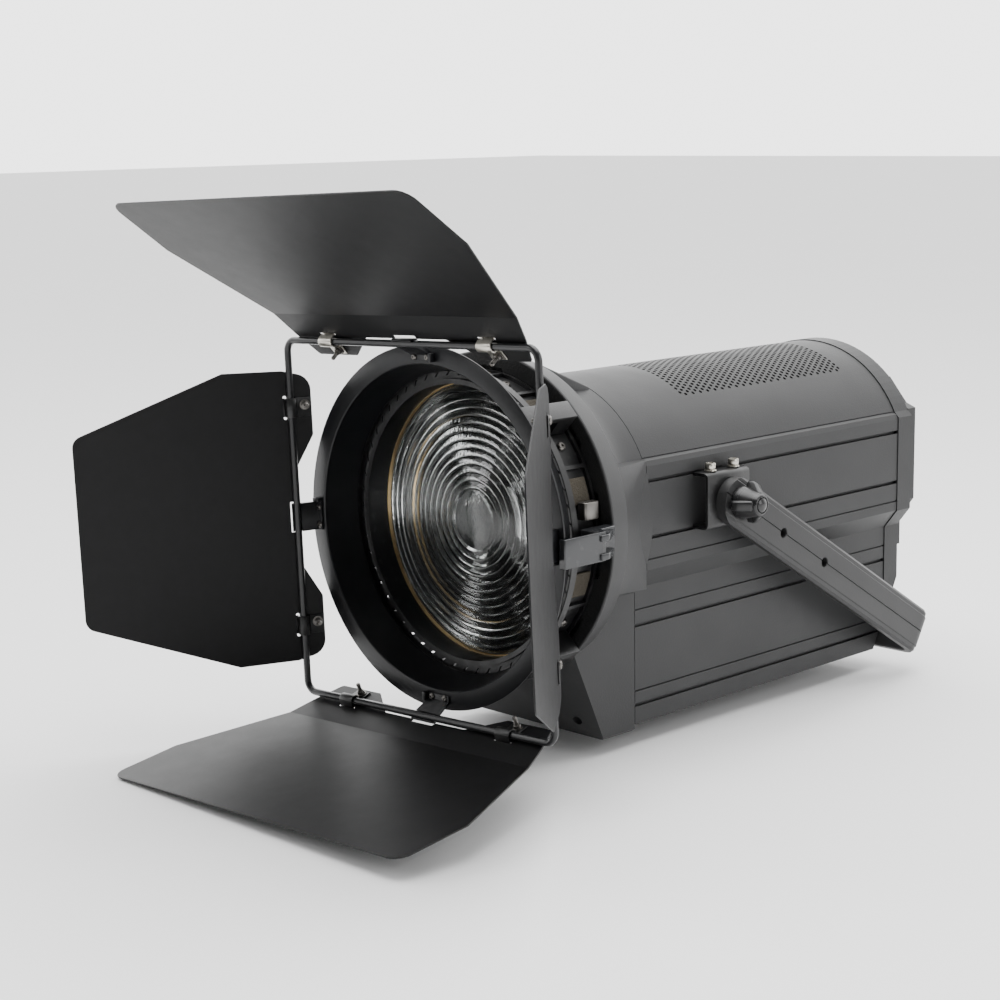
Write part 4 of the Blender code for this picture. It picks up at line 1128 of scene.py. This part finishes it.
def make_yoke():
    """A flat bar with raised middle and a fine centre groove, swept round the U."""
    half = [(20.5, 1.4), (20.5, 7.2), (18.2, 9.1), (15.2, 9.1), (14.2, 10), (0.55, 10), (0.4, 9.0)]
    section = [(w, t) for w, t in half] + [(-w, t) for w, t in reversed(half)]
    section = [(19.2, 0)] + section + [(-19.2, 0)]
    straight = YOKE_REACH - YOKE_BEND
    yoke = draw("bar_yoke", [millimetres(120 + t, -YOKE_HALF_BAR, w) for w, t in section], closed=True)
    bpy.ops.mesh.select_all(action="SELECT")
    bpy.ops.mesh.extrude_region_move(TRANSFORM_OT_translate={"value": millimetres(0, straight + YOKE_HALF_BAR, 0)})
    turn_corner(millimetres(YOKE_HALF_GAP, straight, 0))
    bpy.ops.mesh.extrude_region_move(TRANSFORM_OT_translate={"value": millimetres(-2 * YOKE_HALF_GAP, 0, 0)})
    turn_corner(millimetres(-YOKE_HALF_GAP, straight, 0))
    bpy.ops.mesh.extrude_region_move(TRANSFORM_OT_translate={"value": millimetres(0, -straight - YOKE_HALF_BAR, 0)})
    close_up()
    for sign in (1, -1):
        for up in (1, -1):
            edge = arc(20.3, -2, -88, 12) + [(0.7, -21.6), (21.6, -21.6), (21.6, -0.7)]
            edge = [(w * up, s) for w, s in edge]
            corner = slab("corner", [millimetres(sign * 116, s, w) for w, s in edge], millimetres(sign * 18, 0, 0))
            cut(yoke, corner)
        for along, radius in ((0, 4.4), (68, 4.2), (136, 4.2)):
            hole = [(0, 116), (radius, 116), (radius, 129.4), (radius + 1.2, 131), (0, 131)]
            tool = lathe("hole", [(r, sign * x) for r, x in hole], 28, millimetres(0, along, 0), (1, 0, 0))
            cut(yoke, tool)
    bolt_hole = [(0, YOKE_REACH - 14), (6.2, YOKE_REACH - 14), (6.2, YOKE_REACH + 4), (0, YOKE_REACH + 4)]
    cut(yoke, lathe("bolt_hole", bolt_hole, 32, millimetres(0, 0, 0), (0, 1, 0)))
    yoke.data.transform(YOKE_STAND)
    fit(yoke, yoke_grey, "yoke", ["yoke"], 24)


def make_knob(side, sign):
    """Three tapered wings round a core, with a domed cap let into the end."""
    core = [(0, 0), (13.5, 0), (14, 0.6), (13.4, 5), (10.6, 14), (9.4, 19.5), (8.7, 21.6), (7.6, 22.3), (7.0, 22.3)]
    core += [(6.7, 21.2), (6.2, 21.2), (5.9, 22.4), (4.2, 23.5), (2.0, 24.0), (0, 24.1)]
    pieces = [lathe("core", core, 48, Vector((0, 0, 0)), (0, 1, 0))]
    for angle in (0, 120, 240):
        wing = [(0, 1.5), (17.6, 1.5), (19, 3), (19, 7.5), (17.6, 11.0), (13, 15.4), (9.6, 19.6), (0, 19.6)]
        made = slab("wing", [Vector((r, a, -4.3)) * MM for r, a in wing], Vector((0, 0, 8.6 * MM)))
        chamfer(made, 2.3, 4, 50)
        made.data.transform(Matrix.Rotation(math.radians(angle), 4, "Y"))
        pieces.append(made)
    knob = pieces[0]
    for wing in pieces[1:]:
        cut(knob, wing, "UNION")
    aim = Vector((0, 1, 0)).rotation_difference(Vector((sign, 0, 0))).to_matrix().to_4x4()
    knob.data.transform(Matrix.Translation(PIVOT + millimetres(sign * 130.3, 0, 0)) @ aim)
    knob.name = "winged_knob_" + side
    fit(knob, knob_black, "knob_" + side, ["tilt_knob_" + side], 40)


def make_bracket(side, sign):
    """The rounded channel on the rail, its two socket screws with washer flanges, and the bright clamp strips inside.
    """
    outline = [(103.0, 31.3), (119.6, 31.3), (119.6, -16.3), (103.0, -16.3), (103.0, -13.4), (116.8, -13.4)]
    outline += [(116.8, 28.4), (103.0, 28.4)]
    outline = rounded(outline, {1: 4.5, 2: 4.5, 5: 2, 6: 2}, 4)
    channel = slab("channel", [at(sign * x, 218.8, z) for x, z in outline], millimetres(0, 54.4, 0))
    hole = lathe("hole", [(0, 100), (4.5, 100), (4.5, 125), (0, 125)], 24, PIVOT, (sign, 0, 0))
    cut(channel, hole)
    chamfer(channel, 0.5, 2, 50)
    channel.name = "rail_channel_" + side
    fit(channel, housing_black, "brackets", ["rail_bracket_" + side], 35)
    strips = []
    for low, high in ((-11.5, 3.5), (7.0, 26.5)):
        foot = [(114.6, 224), (115.6, 224), (115.6, 227.5), (114.6, 227.5)]
        strips.append(slab("strip", [at(sign * x, y, low) for x, y in foot], millimetres(0, 0, high - low)))
    strips = merge(strips)
    chamfer(strips, 0.2, 1, 50)
    strips.name = "clamp_strips_" + side
    fit(strips, zinc, "brackets")
    for order, along in (("front", -15), ("rear", 15)):
        head = [(0, 0.3), (3.0, 0.3), (5.0, 0.4), (5.2, 0.8), (4.9, 1.5), (3.9, 1.8), (3.7, 2.2), (4.3, 2.5)]
        head += [(4.5, 3.0), (4.5, 6.4), (4.1, 7.1), (2.7, 7.2), (2.4, 5.0), (0, 4.8)]
        shank = [(0, -8), (2.3, -8), (2.3, 0.2)]
        base = at(sign * 111.8, 246 + along, 31.5)
        screw = turned_at("socket_screw_%s_%s" % (side, order), shank + head[1:], base, Vector((0, 0, 1)), 28)
        fit(screw, zinc, "brackets", ["rail_screw_%s_%s" % (side, order)])


# ---------------------------------------------------------------- catch of the accessory holder


def make_catch():
    """A smoky sprung catch with two fins, and the bright block that it slides on."""
    arm = [(131.2, 81), (131.2, 53.5), (132.4, 52.2), (148.6, 52.2), (148.6, 17.25), (145.4, 17.25), (145.4, 15.0)]
    arm += [(145.9, 14.6), (150.6, 14.6), (151.4, 15.4), (151.4, 60), (141.2, 66), (141.2, 81), (140.4, 82), (132, 82)]
    body = slab("catch", [at(x, y, -11.5) for x, y in arm], millimetres(0, 0, 23))
    chamfer(body, 0.8, 3, 50)
    for low in (-10.4, 4.2):
        fin = [(134, 52.2), (150, 52.2), (153.2, 54), (153.4, 61.5), (152.0, 64.5), (143, 79), (134, 80)]
        fin = rounded(fin, {1: 2, 2: 1.5, 3: 3, 4: 2})
        blade = slab("fin", [at(x, y, low) for x, y in fin], millimetres(0, 0, 5.2))
        chamfer(blade, 0.9, 3, 50)
        cut(body, blade, "UNION")
    body.name = "smoky_catch"
    fit(body, smoke_plastic, "latch", ["accessory_latch"], 35)
    block = [(121.4, 60), (128.8, 60), (130.2, 62), (130.2, 74), (128.4, 77), (121.4, 77)]
    bright = slab("block", [at(x, y, 16.5) for x, y in block], millimetres(0, 0, 14))
    chamfer(bright, 0.9, 3, 40)
    bright.name = "bright_stop_block"
    fit(bright, zinc_dark, "head")


make_yoke()
for side, sign in zip(SIDES, (1, -1)):
    make_knob(side, sign)
    make_bracket(side, sign)
make_catch()


# ---------------------------------------------------------------- studio and camera


def plain_surface(name, colour, rough):
    """Matt paint with a faint clouding, for the floor."""
    made, tree = blank_material(name)
    out = tree.nodes.new("ShaderNodeOutputMaterial")
    out.label = "floor surface"
    skin = tree.nodes.new("ShaderNodeBsdfPrincipled")
    skin.label = "matt floor paint"
    place = tree.nodes.new("ShaderNodeTexCoord")
    place.label = "place on the floor"
    cloud = tree.nodes.new("ShaderNodeTexNoise")
    cloud.label = "faint clouding"
    cloud.inputs["Scale"].default_value = 2.0
    tone = tree.nodes.new("ShaderNodeMix")
    tone.label = "floor tone"
    tone.data_type = "RGBA"
    tone.inputs[6].default_value = (*colour, 1)
    tone.inputs[7].default_value = (*(part * 0.985 for part in colour), 1)
    skin.inputs["Roughness"].default_value = rough
    tree.links.new(place.outputs["Object"], cloud.inputs["Vector"])
    tree.links.new(cloud.outputs["Fac"], tone.inputs[0])
    tree.links.new(tone.outputs[2], skin.inputs["Base Color"])
    tree.links.new(skin.outputs["BSDF"], out.inputs["Surface"])
    arrange(tree, [("floor", [place, cloud, tone, skin, out])])
    return made


floor_height = cad_box[0][2] - 0.002
bpy.ops.object.select_all(action="DESELECT")
bpy.ops.mesh.primitive_plane_add(size=40, location=(0, 0, floor_height))
floor = bpy.context.object
floor.name = "studio_floor"
floor.data.materials.append(plain_surface("pale floor", (0.93, 0.93, 0.93), 0.8))

sky = bpy.data.worlds.new("studio air")
bpy.context.scene.world = sky
sky.use_nodes = True
air = sky.node_tree
backdrop = air.nodes["Background"]
backdrop.label = "white backdrop, dark room"
backdrop.inputs["Color"].default_value = (1, 1, 1, 1)
bearing = air.nodes.new("ShaderNodeTexCoord")
bearing.label = "direction in the room"
behind = air.nodes.new("ShaderNodeVectorMath")
behind.label = "how far behind the lamp"
behind.operation = "DOT_PRODUCT"
behind.inputs[1].default_value = (-0.68, 0.68, 0.27)
falloff = air.nodes.new("ShaderNodeMapRange")
falloff.label = "from the dark room to the backdrop"
falloff.interpolation_type = "SMOOTHSTEP"
falloff.inputs["From Min"].default_value = -0.25
falloff.inputs["From Max"].default_value = 0.7
falloff.inputs["To Min"].default_value = 0.12
falloff.inputs["To Max"].default_value = 3.4
air.links.new(bearing.outputs["Generated"], behind.inputs[0])
air.links.new(behind.outputs["Value"], falloff.inputs["Value"])
air.links.new(falloff.outputs["Result"], backdrop.inputs["Strength"])
for step, member in enumerate((bearing, behind, falloff, backdrop)):
    member.location = (240 * step - 900, 300)


def soft_light(name, place, aim, size, power):
    """A soft box at a place, facing an aim point."""
    data = bpy.data.lights.new(name, "AREA")
    data.shape = "RECTANGLE"
    data.size, data.size_y = size
    data.energy = power
    lamp = bpy.data.objects.new(name, data)
    bpy.context.scene.collection.objects.link(lamp)
    lamp.location = place
    lamp.rotation_euler = (Vector(aim) - Vector(place)).to_track_quat("-Z", "Y").to_euler()


middle = at(0, 200, 0)
soft_light("overhead box", (0.3, -0.3, 2.4), middle, (2.4, 2.0), 70)
soft_light("right side box", (2.6, 0.1, 1.1), middle, (1.4, 1.6), 30)
soft_light("front left box", (-1.6, -2.6, 1.6), middle, (0.7, 0.9), 12)

camera_data = bpy.data.cameras.new("main camera")
camera_data.lens = 74.6
camera_data.sensor_width = 36
camera = bpy.data.objects.new("main camera", camera_data)
bpy.context.scene.collection.objects.link(camera)
turn = Euler((math.radians(79.6), 0, math.radians(45.68))).to_matrix().to_4x4()
camera.matrix_world = Matrix.Translation(at(1203.2, -1079.4, 321.4)) @ turn @ Matrix.Rotation(-0.0161, 4, "Z")
bpy.context.scene.camera = camera
